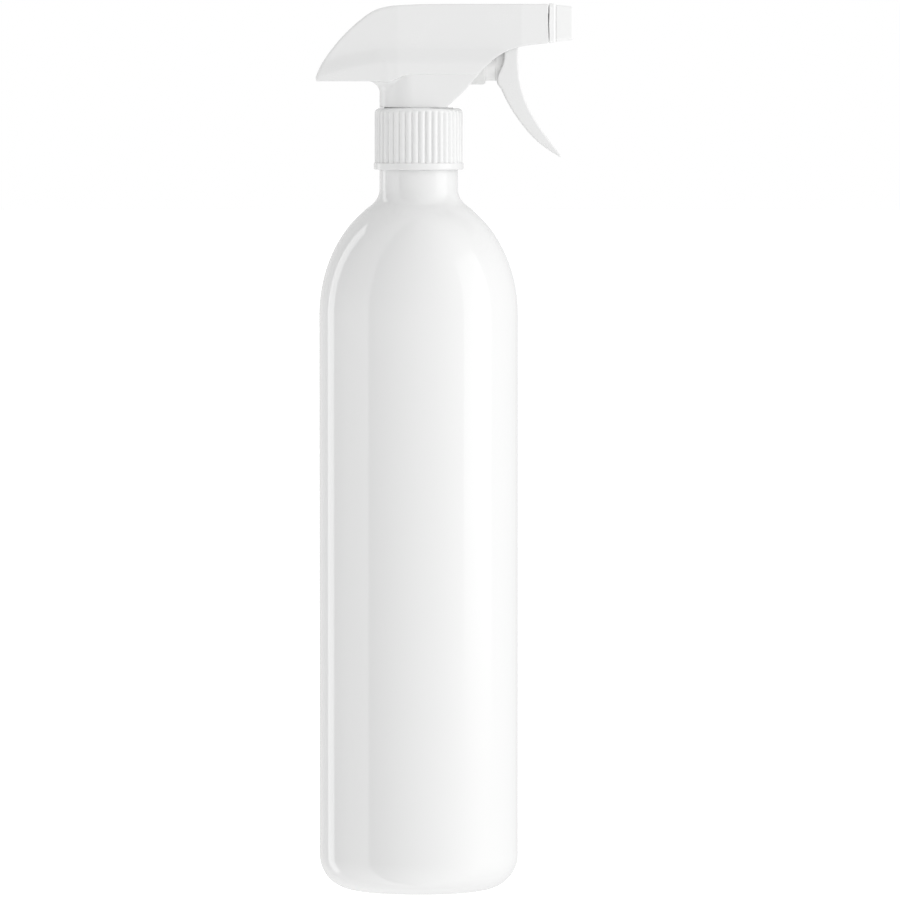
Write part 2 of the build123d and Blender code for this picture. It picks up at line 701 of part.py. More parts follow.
with BuildPart() as trigger:
    with BuildSketch(across(TRIGGER_HALF)):
        add(trigger_side())
    extrude(amount=2 * TRIGGER_HALF)
    with BuildSketch(across(TRIGGER_HALF)):
        with Locations((PIVOT_X, PIVOT_Z)):
            Circle(EAR_R)
        with BuildLine():
            Polyline(HOOK[-1], *EAR_ROOT, FRONT_EDGE[0], close=True)
        make_face()
    extrude(amount=2 * TRIGGER_HALF)
    with BuildSketch(across(TRIGGER_HALF - TRIGGER_WALL)):
        add(trigger_channel())
    extrude(amount=2 * (TRIGGER_HALF - TRIGGER_WALL), mode=Mode.SUBTRACT)
    with BuildSketch(across(TRIGGER_HALF - TRIGGER_WALL)):
        with Locations((PIVOT_X, EAR_SPLIT_Z)):
            Rectangle(4 * EAR_R, 4 * EAR_R, align=(Align.CENTER, Align.MIN))
    extrude(amount=2 * (TRIGGER_HALF - TRIGGER_WALL), mode=Mode.SUBTRACT)
    # Cam rib that pushes the piston
    with BuildSketch(across(CAM_HALF)):
        with Locations((CAM_X, BARREL_Z)):
            Circle(CAM_R)
        with Locations((CAM_X + CAM_DEPTH, BARREL_Z)):
            Rectangle(CAM_R, 3 * CAM_R, align=(Align.MIN, Align.CENTER), mode=Mode.SUBTRACT)
    extrude(amount=2 * CAM_HALF)
    with BuildSketch(across(TRIGGER_HALF)):
        with Locations((PIVOT_X, PIVOT_Z)):
            Circle(TRUNNION_R + FIT)
    extrude(amount=2 * TRIGGER_HALF, mode=Mode.SUBTRACT)
save(trigger, "trigger")


# ---------------------------------------------------------------- shroud
def spine_line(mode=Mode.ADD):
    """The shroud's back and top, from the tail's tip to the start of the flat roof."""
    return Spline(TAIL_TIP, *SPINE, SPINE_END, mode=mode)


def shroud_outline():
    """Side outline of the shroud's outer skin."""
    with BuildSketch() as side:
        with BuildLine():
            spine = spine_line()
            Polyline(
                spine @ 1,
                (SHROUD_FRONT_X, SHROUD_TOP_Z),
                (SHROUD_FRONT_X, SHROUD_FRONT_Z),
            )
            opening = Spline((SHROUD_FRONT_X, SHROUD_FRONT_Z), *OPENING)
            back_x = SHROUD_NECK_X - SHROUD_NECK_R
            Polyline(
                opening @ 1,
                (SHROUD_NECK_FRONT_X, SHROUD_Z),
                (back_x, SHROUD_Z),
                (back_x, TAIL_UNDER_Z),
                TAIL_FOOT,
                spine @ 0,
            )
        make_face()
        fillet(side.vertices().sort_by_distance((back_x, TAIL_UNDER_Z))[0], TAIL_FILLET)
    return side.sketch


def neck_plan(radius):
    """Plan of the shroud's neck: round behind, with flat sides running forwards."""
    with BuildSketch() as plan:
        with Locations((SHROUD_NECK_X, 0)):
            Circle(radius)
            Rectangle(NECK_FLAT_L, 2 * radius, align=(Align.MIN, Align.CENTER))
    return plan.sketch


def long_plan(stations):
    """A plan that is symmetric about the X axis, from (x, half-width) stations."""
    with BuildSketch() as plan:
        with BuildLine():
            Polyline(*stations, *[(x, -half) for x, half in reversed(stations)], close=True)
        make_face()
    return plan.sketch


def shroud_envelope(inset, neck_z, under_z):
    """Everything within the shroud's width: neck, flared skirt and flat-sided body."""
    skirt = [(x, half - inset) for x, half in SKIRT_PLAN]
    body = [(x, half - inset) for x, half in BODY_PLAN]
    with BuildPart() as envelope:
        with BuildSketch(Plane.XY.offset(neck_z)):
            add(neck_plan(SHROUD_NECK_R - inset))
        extrude(amount=NECK_FLATS_Z - neck_z)
        with BuildSketch(Plane.XY.offset(under_z)):
            add(long_plan(skirt))
        extrude(amount=FLARE_Z - under_z)
        with BuildSketch(Plane.XY.offset(FLARE_Z)):
            add(long_plan(skirt))
        extrude(amount=FLARE_TOP_Z - FLARE_Z, taper=FLARE_ANGLE)
        with BuildSketch(Plane.XY.offset(under_z)):
            add(long_plan(body))
        extrude(amount=SHROUD_TOP_Z + 1 - under_z)
    return envelope.part


def shroud_cavity():
    """The side view of the space inside the shroud, open downwards."""
    wall = SHROUD_WALL
    with BuildPart() as cavity:
        with BuildSketch(across(SHROUD_NECK_R)):
            with BuildLine():
                spine = spine_line(Mode.PRIVATE)
                inner = [
                    spine @ t + (spine % t).rotate(Axis.Z, -90) * wall for t in SPINE_STEPS
                ]
                roof = Spline(*inner)
                front_x = SHROUD_FRONT_X - wall
                Polyline(
                    roof @ 1,
                    (front_x, SHROUD_TOP_Z - wall),
                    (front_x, SHROUD_Z - 1),
                    (TAIL_X - 1, SHROUD_Z - 1),
                    (TAIL_X - 1, TAIL_UNDER_Z - 1),
                    (TAIL_X + wall, TAIL_UNDER_Z - 1),
                    roof @ 0,
                )
            make_face()
        extrude(amount=2 * SHROUD_NECK_R)
    return cavity.part


with BuildPart() as shroud_room:
    add(shroud_envelope(SHROUD_WALL, SHROUD_Z - 1, TAIL_UNDER_Z + SHROUD_WALL))
    # Open below behind the web
    with BuildSketch(Plane.XY.offset(TAIL_UNDER_Z - 1)):
        add(long_plan([(x, half - SHROUD_WALL) for x, half in SKIRT_PLAN]))
        with Locations((WEB_X, 0)):
            Rectangle(
                WEB_X - 2 * TAIL_X,
                4 * SHROUD_NECK_R,
                align=(Align.MAX, Align.CENTER),
                mode=Mode.INTERSECT,
            )
    extrude(amount=2 * SHROUD_WALL + 1)
    add(shroud_cavity(), mode=Mode.INTERSECT)
    # The web behind the neck and the tail's cross ribs stay solid
    pitch = (WEB_X - TAIL_X) / TAIL_RIBS
    with BuildSketch(Plane.XY.offset(TAIL_UNDER_Z - 1)):
        for rib in range(TAIL_RIBS):
            with Locations((WEB_X - rib * pitch, 0)):
                Rectangle(
                    TAIL_RIB_T, 2 * SHROUD_NECK_R, align=(Align.MIN, Align.CENTER)
                )
    extrude(amount=SHROUD_TOP_Z - TAIL_UNDER_Z + 1, mode=Mode.SUBTRACT)

with BuildPart() as shroud:
    with BuildSketch(across(SHROUD_NECK_R)):
        add(shroud_outline())
    extrude(amount=2 * SHROUD_NECK_R)
    add(shroud_envelope(0, SHROUD_Z, TAIL_UNDER_Z), mode=Mode.INTERSECT)
    add(shroud_room.part, mode=Mode.SUBTRACT)
    with BuildSketch(along_x(SHROUD_FRONT_X - SHROUD_WALL, NOZZLE_Z)):
        Circle(NOZZLE_TUBE_R + SHROUD_SLOT)
        Rectangle(
            2 * (NOZZLE_TUBE_R + SHROUD_SLOT),
            NOZZLE_Z - SHROUD_FRONT_Z + 1,
            align=(Align.CENTER, Align.MAX),
        )
    extrude(amount=SHROUD_WALL, mode=Mode.SUBTRACT)
save(shroud, "shroud")
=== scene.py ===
import json
from math import pi, radians

import bpy
import numpy as np
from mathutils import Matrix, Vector


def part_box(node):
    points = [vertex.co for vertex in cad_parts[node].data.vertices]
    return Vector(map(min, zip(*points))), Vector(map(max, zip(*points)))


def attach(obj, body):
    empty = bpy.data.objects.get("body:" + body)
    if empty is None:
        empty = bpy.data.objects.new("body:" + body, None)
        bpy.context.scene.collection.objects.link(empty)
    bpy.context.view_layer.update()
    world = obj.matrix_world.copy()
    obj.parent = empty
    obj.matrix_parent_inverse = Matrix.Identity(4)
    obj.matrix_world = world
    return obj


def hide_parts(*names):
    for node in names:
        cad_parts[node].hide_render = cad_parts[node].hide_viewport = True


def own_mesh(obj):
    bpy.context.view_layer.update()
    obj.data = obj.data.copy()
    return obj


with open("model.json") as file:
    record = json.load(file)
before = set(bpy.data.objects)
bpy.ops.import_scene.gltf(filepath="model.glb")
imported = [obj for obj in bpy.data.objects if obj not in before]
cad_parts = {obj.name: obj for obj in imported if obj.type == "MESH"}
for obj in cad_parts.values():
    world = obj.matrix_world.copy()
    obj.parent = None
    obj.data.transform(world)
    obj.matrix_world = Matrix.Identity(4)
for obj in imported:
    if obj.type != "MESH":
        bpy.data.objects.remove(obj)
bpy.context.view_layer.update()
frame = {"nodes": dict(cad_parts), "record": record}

# A trigger spray bottle in white plastic. Shapes are worked out in millimetres, in the
# frame's own axes: +Z up the bottle's axis, +X the way the nozzle sprays.
MM = 0.001


def limits(node):
    """Lowest and highest corner of a CAD node, in millimetres."""
    low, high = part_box(node)
    return np.array(low) / MM, np.array(high) / MM


# ---------------------------------------------------------------- sizes read from the frame
BOTTLE_HIGH = limits("bottle")[1]
CLOSURE_LOW, CLOSURE_HIGH = limits("closure")
SHROUD_LOW, SHROUD_HIGH = limits("shroud")
TRIGGER_LOW, TRIGGER_HIGH = limits("trigger")
COLLAR_LOW, COLLAR_HIGH = limits("nozzle_collar")
CAP_LOW, CAP_HIGH = limits("nozzle_cap")
PISTON_LOW, PISTON_HIGH = limits("piston")
NOZZLE_Z = (CAP_LOW[2] + CAP_HIGH[2]) / 2
BARREL_Z = (PISTON_LOW[2] + PISTON_HIGH[2]) / 2

# Bottle
BODY_R = BOTTLE_HIGH[0]
LAND_Z = BOTTLE_HIGH[2]
HEEL_R = 13.0
PUSH_UP_R = 19.5
PUSH_UP = 4.0
SHOULDER_Z = 216.5
SHOULDER_RISE = 47.3
BOTTLE_WALL = 1.0
NECK_R = 14.75
NECK_FILLET = 8.0
NECK_WALL = 1.4
NECK_TOP_Z = 272.8
FINISH_R = 12.45
BORE_R = 10.9
FOOT_ROUND = 0.6
LEDGE_ROUND = 0.5
LEDGE_FILLET = 0.4
LIP_ROUND = 0.5
BORE_ROUND = 0.3
NECK_LOW_Z = 271.2
FINISH_LOW_Z = 274.5
FINISH_HIGH_Z = 288.6
MOULD_LOW_Z = 6
MOULD_HIGH_Z = 270
SEAM_LOW_Z = 8
SEAM_H = 0.05
SEAM_WIDTH = 0.28
SEAM_OFFSETS = (0.12, 0.25, 0.4, 0.55, 0.8)
BOTTLE_SIDES = 256
SCAR_H = 0.5
SCAR_WIDTH = 0.45
SCAR_R = 15.0
SCAR_FADE = 1.5
POLE_GAP = 0.6
POLE_GAP_INSIDE = 1.5

# Screw thread
PITCH = 4.23
THREAD_TURNS = 1.5
THREAD_Z = 279.6
THREAD_START = radians(40)
THREAD_RUN_OUT = radians(14)
BOTTLE_CREST_R = 13.7
CLOSURE_CREST_R = 12.95
RIDGE_ROOT = 2.2
RIDGE_CREST = 1.1

# Closure
CLOSURE_Z = CLOSURE_LOW[2]
CLOSURE_TOP_Z = CLOSURE_HIGH[2]
BAND_R = CLOSURE_HIGH[0]
CLOSURE_R = 16.6
BAND_H = 2.6
CLOSURE_INNER_R = 14.2
MOUTH_R = 15.2
MOUTH_H = 2.0
PLATE_T = 1.8
PLATE_HOLE_R = 11.4
RIB_COUNT = 40
RIB_STEPS = 18
RIB_BULGE = 2.3
GROOVE_DEPTH = 0.75
CLOSURE_ROUND = 2.0
SEAT_RING_R = 12.95
SEAT_RING_H = 0.26
BAND_FOOT_ROUND = 0.6
BAND_TOP_ROUND = 0.35
HOLE_ROUND = 0.2
MOUTH_BEVEL = 0.3
RIB_END = 0.9
RIB_FADE = 1.1

# Shroud: a flat-sided hood, flared to a wider skirt below, on a round-backed neck
WALL = 1.2
SHROUD_Z = SHROUD_LOW[2]
SHROUD_TOP_Z = SHROUD_HIGH[2]
SHROUD_FRONT_X = SHROUD_HIGH[0]
SHROUD_FRONT_Z = 319.0
TAIL_X = SHROUD_LOW[0]
TAIL_UNDER_Z = 304.7
SHROUD_NECK_R = 12.9
SHROUD_NECK_X = -1.8
SHROUD_NECK_FRONT_X = 10.8
NECK_FLATS_Z = 307.4
NECK_STEP = 0.4
TAIL_FILLET = 4.5
WEB_X = -19.6
TAIL_RIBS = 3
SKIRT_PLAN = ((-40.0, 9.6), (-8.0, 12.9), (60.0, 12.9))
BODY_PLAN = ((-40.0, 7.4), (-8.0, 10.0), (38.5, 10.0), (48.6, 8.8))
FLARE_TOP = ((-38.0, 311.4), (-27.0, 315.0), (-15.0, 316.8), (60.0, 316.8))
FLARE_FOOT = ((-38.0, 306.6), (-24.0, 310.4), (-15.0, 311.9), (60.0, 311.9))
SPINE = ((-37.4, 309.3), (-33.7, 315.3), (-28.8, 321.3), (-22.4, 327.3), (-15.3, 331.8))
SPINE_END = (-9.3, 333.1)
OPENING = ((39.5, 317.9), (32.8, 315.8), (25.4, 310.4), (18.4, 302.5), (10.8, 295.3))
TUBE_SLOT_R = 4.25
SHROUD_EDGE = 0.75
SHROUD_FINE_EDGE = 0.35
SKIRT_EDGE = 0.15
TAIL_EDGE = 0.35
CREASE = 0.15
INNER_EDGE = 0.2
RIB_FILLET = 0.3
SHROUD_FRONT_EDGE = 0.2
SHROUD_FOOT_EDGE = 0.12
# Where along X or Z the shroud's shape changes, from and to
NECK_STEP_X = (-13, -6)
UNDER_X = (-12, -2)
FINE_EDGE_X = (2, 10)
FINE_EDGE_Z = (322, 318)
BLUNT_X = (SHROUD_FRONT_X + 0.5, SHROUD_FRONT_X - 1.5)
TAIL_EDGE_X = (-10, -15)
FILLET_X = (-6, -13)
TAIL_END_H = 1.6
TAIL_FOOT_X = 0.4
ROOF_X = 9.0
ROOF_DROP = 0.12
BELOW = 4
NECK_OVERLAP = 1.5

# Trigger
TRIGGER_HALF = TRIGGER_HIGH[1]
TRIGGER_WALL = 1.2
TRIGGER_FRONT = 1.6
PIVOT_X = 34.8
PIVOT_Z = 324.0
EAR_R = 3.8
EAR_BORE_R = 2.05
EAR_SPLIT_Z = 318.2
CAM_X = 36.43
CAM_R = 4.43
CAM_HALF = 1.5
CAM_DEPTH = 0.4
FRONT_EDGE = ((37.3, 316.8), (37.9, 306.4), (40.5, 296.6), (46.9, 285.6), (53.3, 277.0))
TIP = ((53.4, 276.3), (52.8, 276.4))
BACK_EDGE = ((44.9, 281.9), (38.8, 288.6), (34.1, 295.6), (31.1, 301.7))
HOOK = ((29.4, 304.6), (30.9, 309.6), (32.0, 313.4), (32.0, 316.4))
EARS = ((31.2, 322.6), (38.5, 322.6))
TRIGGER_EDGE = 0.6
TIP_EDGE = 0.35
TIP_EDGE_Z = (277, 283)
CHANNEL_SHARE = 0.93
CHANNEL_BACK = ((20, 270), (20, 330))
EAR_FILLET = 1.2
CHANNEL_EDGE = 0.25
CAM_EDGE = 0.3
CAM_FILLET = 0.4

# Nozzle
NOSE_BORE_R = 4.45
NOSE_END_X = 55.6
CORNER_R = 1.3
COLLAR_BEVEL = 0.7
BOSS_R = 6.9
BOSS_T = 0.25
CAP_REAR_HALF = 6.95
CAP_FRONT_HALF = 6.2
INSERT_R = 1.6
DISH_R = 2.6
DISH_DEPTH = 0.8
COLLAR_REAR_EDGE = 0.25
CAP_REAR_EDGE = 0.15
CAP_FRONT_EDGE = 1.1
FINE_EDGE = 0.15
BORE_CLEARANCE = 0.3

# Piston and springs
PISTON_R = PISTON_HIGH[2] - BARREL_Z
PISTON_BORE_R = 5.2
PISTON_NOSE_T = 3.5
PISTON_HEAD_L = 3.0
PISTON_LIP = 1.3
CAM_SLOT = 2.0
SEAL_LENGTH = 6.8
SEAL_GROOVE = 0.5
HEAD_POWER = 7
LIP_EDGE = 0.4
RETURN_TURNS = 7
RETURN_WIRE_R = 0.45
OUTLET_TURNS = 6
OUTLET_WIRE_R = 0.2
WIRE_SIDES = 12
COIL_STEPS = 30
CLOSED_TURNS = 0.75
CLOSED_RISE = 0.1
BALL_SIDES = 60

# Sizes of the grids that the surfaces are found on
SHROUD_CELL = 0.46
TRIGGER_CELL = 0.3
NOZZLE_CELL = 0.24
PISTON_CELL = 0.26


# ---------------------------------------------------------------- materials
CLOUD_SCALE = 38.0
WAVE_SCALE = 26.0


def node(tree, kind, inputs=None, **settings):
    """A shader node with its settings, and its inputs set to values or linked to sockets."""
    made = tree.nodes.new(kind)
    for key, value in settings.items():
        setattr(made, key, value)
    for key, value in (inputs or {}).items():
        if isinstance(value, bpy.types.NodeSocket):
            tree.links.new(value, made.inputs[key])
        else:
            made.inputs[key].default_value = value
    return made


def noise(tree, coordinates, scale, detail=4.0, roughness=0.55):
    """The value of a noise texture over object coordinates, in metres."""
    made = node(
        tree,
        "ShaderNodeTexNoise",
        {"Vector": coordinates, "Scale": scale, "Detail": detail, "Roughness": roughness},
    )
    return made.outputs["Factor" if "Factor" in made.outputs else "Fac"]


def between(tree, value, low, high):
    """A value from 0 to 1 brought between low and high."""
    made = node(tree, "ShaderNodeMapRange", {"Value": value, "To Min": low, "To Max": high})
    made.inputs["From Min"].default_value = 0.3
    made.inputs["From Max"].default_value = 0.7
    return made.outputs["Result"]


def shade(colour, factor):
    """A colour made darker or lighter by a factor, as RGBA."""
    return tuple(min(1.0, c * factor) for c in colour) + (1.0,)


def moulded(name, colour, roughness, grain, depth, mottle=0.012, waves=0.0):
    """Moulded plastic, rubber or metal: grain and slow waves as relief, uneven gloss, and
    faint cloudiness in its colour. Grain is in lumps per metre and depth in metres."""
    material = bpy.data.materials.new(name)
    material.use_nodes = True
    tree = material.node_tree
    shader = tree.nodes["Principled BSDF"]
    place = tree.nodes.new("ShaderNodeTexCoord").outputs["Object"]
    fine = noise(tree, place, grain)
    slow = noise(tree, place, CLOUD_SCALE, detail=2.0)
    cloud = node(
        tree,
        "ShaderNodeMix",
        {"Factor": slow, "A": shade(colour, 1 - mottle), "B": shade(colour, 1 + mottle)},
        data_type="RGBA",
    )
    tree.links.new(next(s for s in cloud.outputs if s.type == "RGBA"), shader.inputs["Base Color"])
    worn = node(tree, "ShaderNodeMath", {0: fine, 1: slow}, operation="ADD")
    half = node(tree, "ShaderNodeMath", {0: worn.outputs[0], 1: 0.5}, operation="MULTIPLY")
    gloss = between(tree, half.outputs[0], roughness * 0.85, roughness * 1.2)
    tree.links.new(gloss, shader.inputs["Roughness"])
    relief = node(tree, "ShaderNodeBump", {"Height": fine, "Distance": depth, "Strength": 1.0})
    if waves:
        broad = noise(tree, place, WAVE_SCALE, detail=1.0)
        relief = node(
            tree,
            "ShaderNodeBump",
            {
                "Height": broad,
                "Distance": waves,
                "Strength": 1.0,
                "Normal": relief.outputs["Normal"],
            },
        )
    tree.links.new(relief.outputs["Normal"], shader.inputs["Normal"])
    return material


def wire(name, colour, roughness):
    """Drawn steel wire, with fine streaks and dull patches."""
    material = moulded(name, colour, roughness, 9000.0, 0.000004, mottle=0.05)
    material.node_tree.nodes["Principled BSDF"].inputs["Metallic"].default_value = 1.0
    return material


def foam(name, colour):
    """Closed-cell foam: small rounded cells with dark walls between them."""
    material = moulded(name, colour, 0.75, 2400.0, 0.00004, mottle=0.03)
    tree = material.node_tree
    place = tree.nodes.new("ShaderNodeTexCoord").outputs["Object"]
    cells = node(tree, "ShaderNodeTexVoronoi", {"Vector": place, "Scale": 1900.0})
    relief = node(
        tree,
        "ShaderNodeBump",
        {"Height": cells.outputs["Distance"], "Distance": 0.00012, "Strength": 0.8},
        invert=True,
    )
    tree.links.new(relief.outputs["Normal"], tree.nodes["Principled BSDF"].inputs["Normal"])
    return material


def drawn_tube(name, colour):
    """Extruded tube: milky plastic with faint lines along its length."""
    material = moulded(name, colour, 0.3, 1500.0, 0.000004)
    tree = material.node_tree
    place = tree.nodes.new("ShaderNodeTexCoord").outputs["Object"]
    stretch = node(tree, "ShaderNodeMapping", {"Vector": place, "Scale": (1.0, 1.0, 0.02)})
    lines = noise(tree, stretch.outputs["Vector"], 2600.0, detail=2.0)
    relief = node(tree, "ShaderNodeBump", {"Height": lines, "Distance": 0.00003, "Strength": 1.0})
    tree.links.new(relief.outputs["Normal"], tree.nodes["Principled BSDF"].inputs["Normal"])
    return material


WHITE = (0.86, 0.862, 0.86)
MATERIALS = {
    "bottle_plastic": moulded(
        "bottle_plastic", WHITE, 0.055, 420.0, 0.000005, mottle=0.006, waves=0.00003
    ),
    "closure_plastic": moulded("closure_plastic", WHITE, 0.10, 1800.0, 0.000004),
    "shroud_plastic": moulded("shroud_plastic", WHITE, 0.24, 3200.0, 0.000014),
    "trigger_plastic": moulded("trigger_plastic", WHITE, 0.28, 3200.0, 0.000008),
    "pump_plastic": moulded("pump_plastic", (0.87, 0.872, 0.865), 0.42, 2000.0, 0.000012),
    # The piston's white is lighter than the other white parts: painted light, brightening its
    # shaded pocket between the hood and the trigger
    "piston_plastic": moulded("piston_plastic", (0.95, 0.95, 0.945), 0.30, 2400.0, 0.000008),
    "nozzle_plastic": moulded("nozzle_plastic", (0.94, 0.942, 0.94), 0.33, 3000.0, 0.000012),
    "tube_plastic": drawn_tube("tube_plastic", (0.80, 0.81, 0.81)),
    "gasket_foam": foam("gasket_foam", (0.80, 0.80, 0.78)),
    "seal_rubber": moulded("seal_rubber", (0.035, 0.035, 0.036), 0.55, 5200.0, 0.000012),
    "spring_steel": wire("spring_steel", (0.56, 0.56, 0.56), 0.24),
    "ball_steel": wire("ball_steel", (0.66, 0.66, 0.67), 0.10),
}


# ---------------------------------------------------------------- turning points into pieces
def piece(name, points, faces, cad_node, crease=35.0):
    """A mesh object that stands for a CAD node: it rides on the node's body, in its slot."""
    mesh = bpy.data.meshes.new(name)
    mesh.from_pydata((np.asarray(points) * MM).tolist(), [], faces)
    mesh.shade_smooth()
    mesh.set_sharp_from_angle(angle=radians(crease))
    made = bpy.data.objects.new(name, mesh)
    bpy.context.scene.collection.objects.link(made)
    slot = SLOTS[cad_node]
    mesh.materials.append(MATERIALS[slot])
    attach(made, BODIES[cad_node])
    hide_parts(cad_node)
    return made


SLOTS = {row["node"]: row["material_slot"] for row in frame["record"]["subparts"]}
BODIES = {
    name: body
    for body, names in frame["record"]["behaviour"]["bodies"].items()
    for name in names
}


def arc(centre, radius, start, end, steps):
    """Points along an arc, with its angles in degrees."""
    angles = np.radians(np.linspace(start, end, steps + 1))
    return np.stack([centre[0] + radius * np.cos(angles), centre[1] + radius * np.sin(angles)], 1)


def turned(radii, heights, angles, poles=None):
    """Points and faces of a body of revolution about Z, from one ring of radii per row.
    Poles are the heights where its two ends meet the axis; without them it is a closed ring."""
    rows, count = radii.shape
    heights = np.broadcast_to(heights, radii.shape)
    points = np.stack([radii * np.cos(angles), radii * np.sin(angles), heights], 2).reshape(-1, 3)
    ring = np.arange(rows * count).reshape(rows, count)
    beside = np.roll(ring, -1, axis=1)
    if poles is None:
        above, above_beside = np.roll(ring, -1, axis=0), np.roll(beside, -1, axis=0)
        quads = np.stack([ring, beside, above_beside, above], 2).reshape(-1, 4)
        return points, quads.tolist()
    quads = np.stack([ring[:-1], beside[:-1], beside[1:], ring[1:]], 2).reshape(-1, 4)
    first, last = rows * count, rows * count + 1
    points = np.vstack([points, [(0, 0, poles[0]), (0, 0, poles[1])]])
    fans = [(first, b, a) for a, b in zip(ring[0].tolist(), beside[0].tolist())]
    fans += [(a, b, last) for a, b in zip(ring[-1].tolist(), beside[-1].tolist())]
    return points, quads.tolist() + fans


def ridge(angles, heights, start_z, depth):
    """How far a helical thread stands out at each angle and height, with tapered ends."""
    turn = (angles - THREAD_START) % (2 * pi)
    total = np.zeros(np.broadcast(angles, heights).shape)
    for wrap in range(int(np.ceil(THREAD_TURNS))):
        along = turn + 2 * pi * wrap
        away = np.abs(heights - start_z - PITCH * along / (2 * pi))
        flank = (RIDGE_ROOT / 2 - away) / ((RIDGE_ROOT - RIDGE_CREST) / 2)
        run_out = np.minimum(along, THREAD_TURNS * 2 * pi - along) / THREAD_RUN_OUT
        total = np.maximum(total, np.clip(flank, 0, 1) * np.clip(run_out, 0, 1))
    return depth * total


# ---------------------------------------------------------------- bottle
def shoulder(radius, rise, neck_r, steps=56):
    """A quarter-ellipse shoulder that a fillet joins to the upright neck."""
    angles = np.linspace(0, pi / 2, 2000)
    normal = np.stack([rise * np.cos(angles), radius * np.sin(angles)], 1)
    normal /= np.linalg.norm(normal, axis=1)[:, None]
    curve = np.stack([radius * np.cos(angles), SHOULDER_Z + rise * np.sin(angles)], 1)
    offset = curve + NECK_FILLET * normal
    met = np.interp(-(neck_r + NECK_FILLET), -offset[:, 0], angles)
    centre = (neck_r + NECK_FILLET, np.interp(met, angles, offset[:, 1]))
    share = np.linspace(0, met, steps + 1)
    points = np.stack([radius * np.cos(share), SHOULDER_Z + rise * np.sin(share)], 1)
    touch = points[-1] - centre
    start = np.degrees(np.arctan2(touch[1], touch[0])) % 360
    return np.vstack([points, arc(centre, NECK_FILLET, start, 180, 16)[1:]])


def upright(radius, start_z, end_z, steps):
    """Points up or down a cylinder's wall."""
    return np.stack([np.full(steps + 1, radius), np.linspace(start_z, end_z, steps + 1)], 1)


def bottle_section():
    """The bottle's wall, from the middle of its base, up outside and down inside."""
    foot_r = BODY_R - HEEL_R
    dome_r = (PUSH_UP_R**2 + PUSH_UP**2) / (2 * PUSH_UP)
    dome_angle = np.degrees(np.arcsin(PUSH_UP_R / dome_r))
    dome = (0, PUSH_UP - dome_r)
    inner_r, bore_z = BODY_R - BOTTLE_WALL, NECK_TOP_Z + NECK_WALL
    outside = [
        arc(dome, dome_r, 90 - POLE_GAP, 90 - dome_angle, 26)[:-1],
        arc((PUSH_UP_R, FOOT_ROUND), FOOT_ROUND, -110, -90, 3),
        arc((foot_r, HEEL_R), HEEL_R, -90, 0, 30),
        upright(BODY_R, HEEL_R, SHOULDER_Z, 14)[1:],
        shoulder(BODY_R, SHOULDER_RISE, NECK_R)[1:],
        upright(NECK_R, NECK_LOW_Z, NECK_TOP_Z - LEDGE_ROUND, 2),
        arc((NECK_R - LEDGE_ROUND, NECK_TOP_Z - LEDGE_ROUND), LEDGE_ROUND, 0, 90, 4)[1:],
        arc((FINISH_R + LEDGE_FILLET, NECK_TOP_Z + LEDGE_FILLET), LEDGE_FILLET, 270, 180, 3),
        upright(FINISH_R, FINISH_LOW_Z, FINISH_HIGH_Z, 50),
        arc((FINISH_R - LIP_ROUND, LAND_Z - LIP_ROUND), LIP_ROUND, 0, 90, 4),
    ]
    inside = [
        arc((BORE_R + BORE_ROUND, LAND_Z - BORE_ROUND), BORE_ROUND, 90, 180, 3),
        upright(BORE_R, LAND_Z - 1, bore_z, 3),
        shoulder(inner_r, SHOULDER_RISE - BOTTLE_WALL, NECK_R - NECK_WALL, 40)[::-1],
        upright(inner_r, SHOULDER_Z, HEEL_R, 8)[1:-1],
        arc((foot_r, HEEL_R), HEEL_R - BOTTLE_WALL, 0, -90, 16),
        arc(dome, dome_r + BOTTLE_WALL, 90 - dome_angle, 90 - POLE_GAP_INSIDE, 14),
    ]
    return np.vstack(outside + inside), sum(len(run) for run in outside)


def make_bottle():
    section, outer_rows = bottle_section()
    # Closer angles at the mould's parting line, which runs up the two sides along X
    even = np.arange(BOTTLE_SIDES) * 2 * pi / BOTTLE_SIDES
    close = np.array(SEAM_OFFSETS) / BODY_R
    close = np.concatenate([close, -close])
    angles = np.sort(np.concatenate([even, close % (2 * pi), close + pi]))
    radii = np.repeat(section[:, :1], len(angles), axis=1)
    heights = np.repeat(section[:, 1:], len(angles), axis=1)
    outer = np.arange(len(section))[:, None] < outer_rows
    away = np.abs(np.sin(angles))[None, :] * radii
    moulded_wall = outer * (heights > MOULD_LOW_Z) * (heights < MOULD_HIGH_Z)
    seam = np.exp(-((away / SEAM_WIDTH) ** 2)) * (heights > SEAM_LOW_Z)
    radii = radii + SEAM_H * (seam - 1) * moulded_wall
    # The scar where the mould pinched the tube of plastic shut, across the push-up
    scar = SCAR_H * np.exp(-((away / SCAR_WIDTH) ** 2))
    scar = scar * np.clip((SCAR_R - radii) / SCAR_FADE, 0, 1)
    heights = heights - scar * outer
    finish = outer & (section[:, 1:] > FINISH_LOW_Z) & (section[:, 1:] < FINISH_HIGH_Z)
    radii = radii + finish * ridge(angles[None, :], heights, THREAD_Z, BOTTLE_CREST_R - FINISH_R)
    poles = (PUSH_UP - SCAR_H, PUSH_UP + BOTTLE_WALL)
    points, faces = turned(radii, heights, angles, poles)
    piece("bottle_shell", points, faces, "bottle")


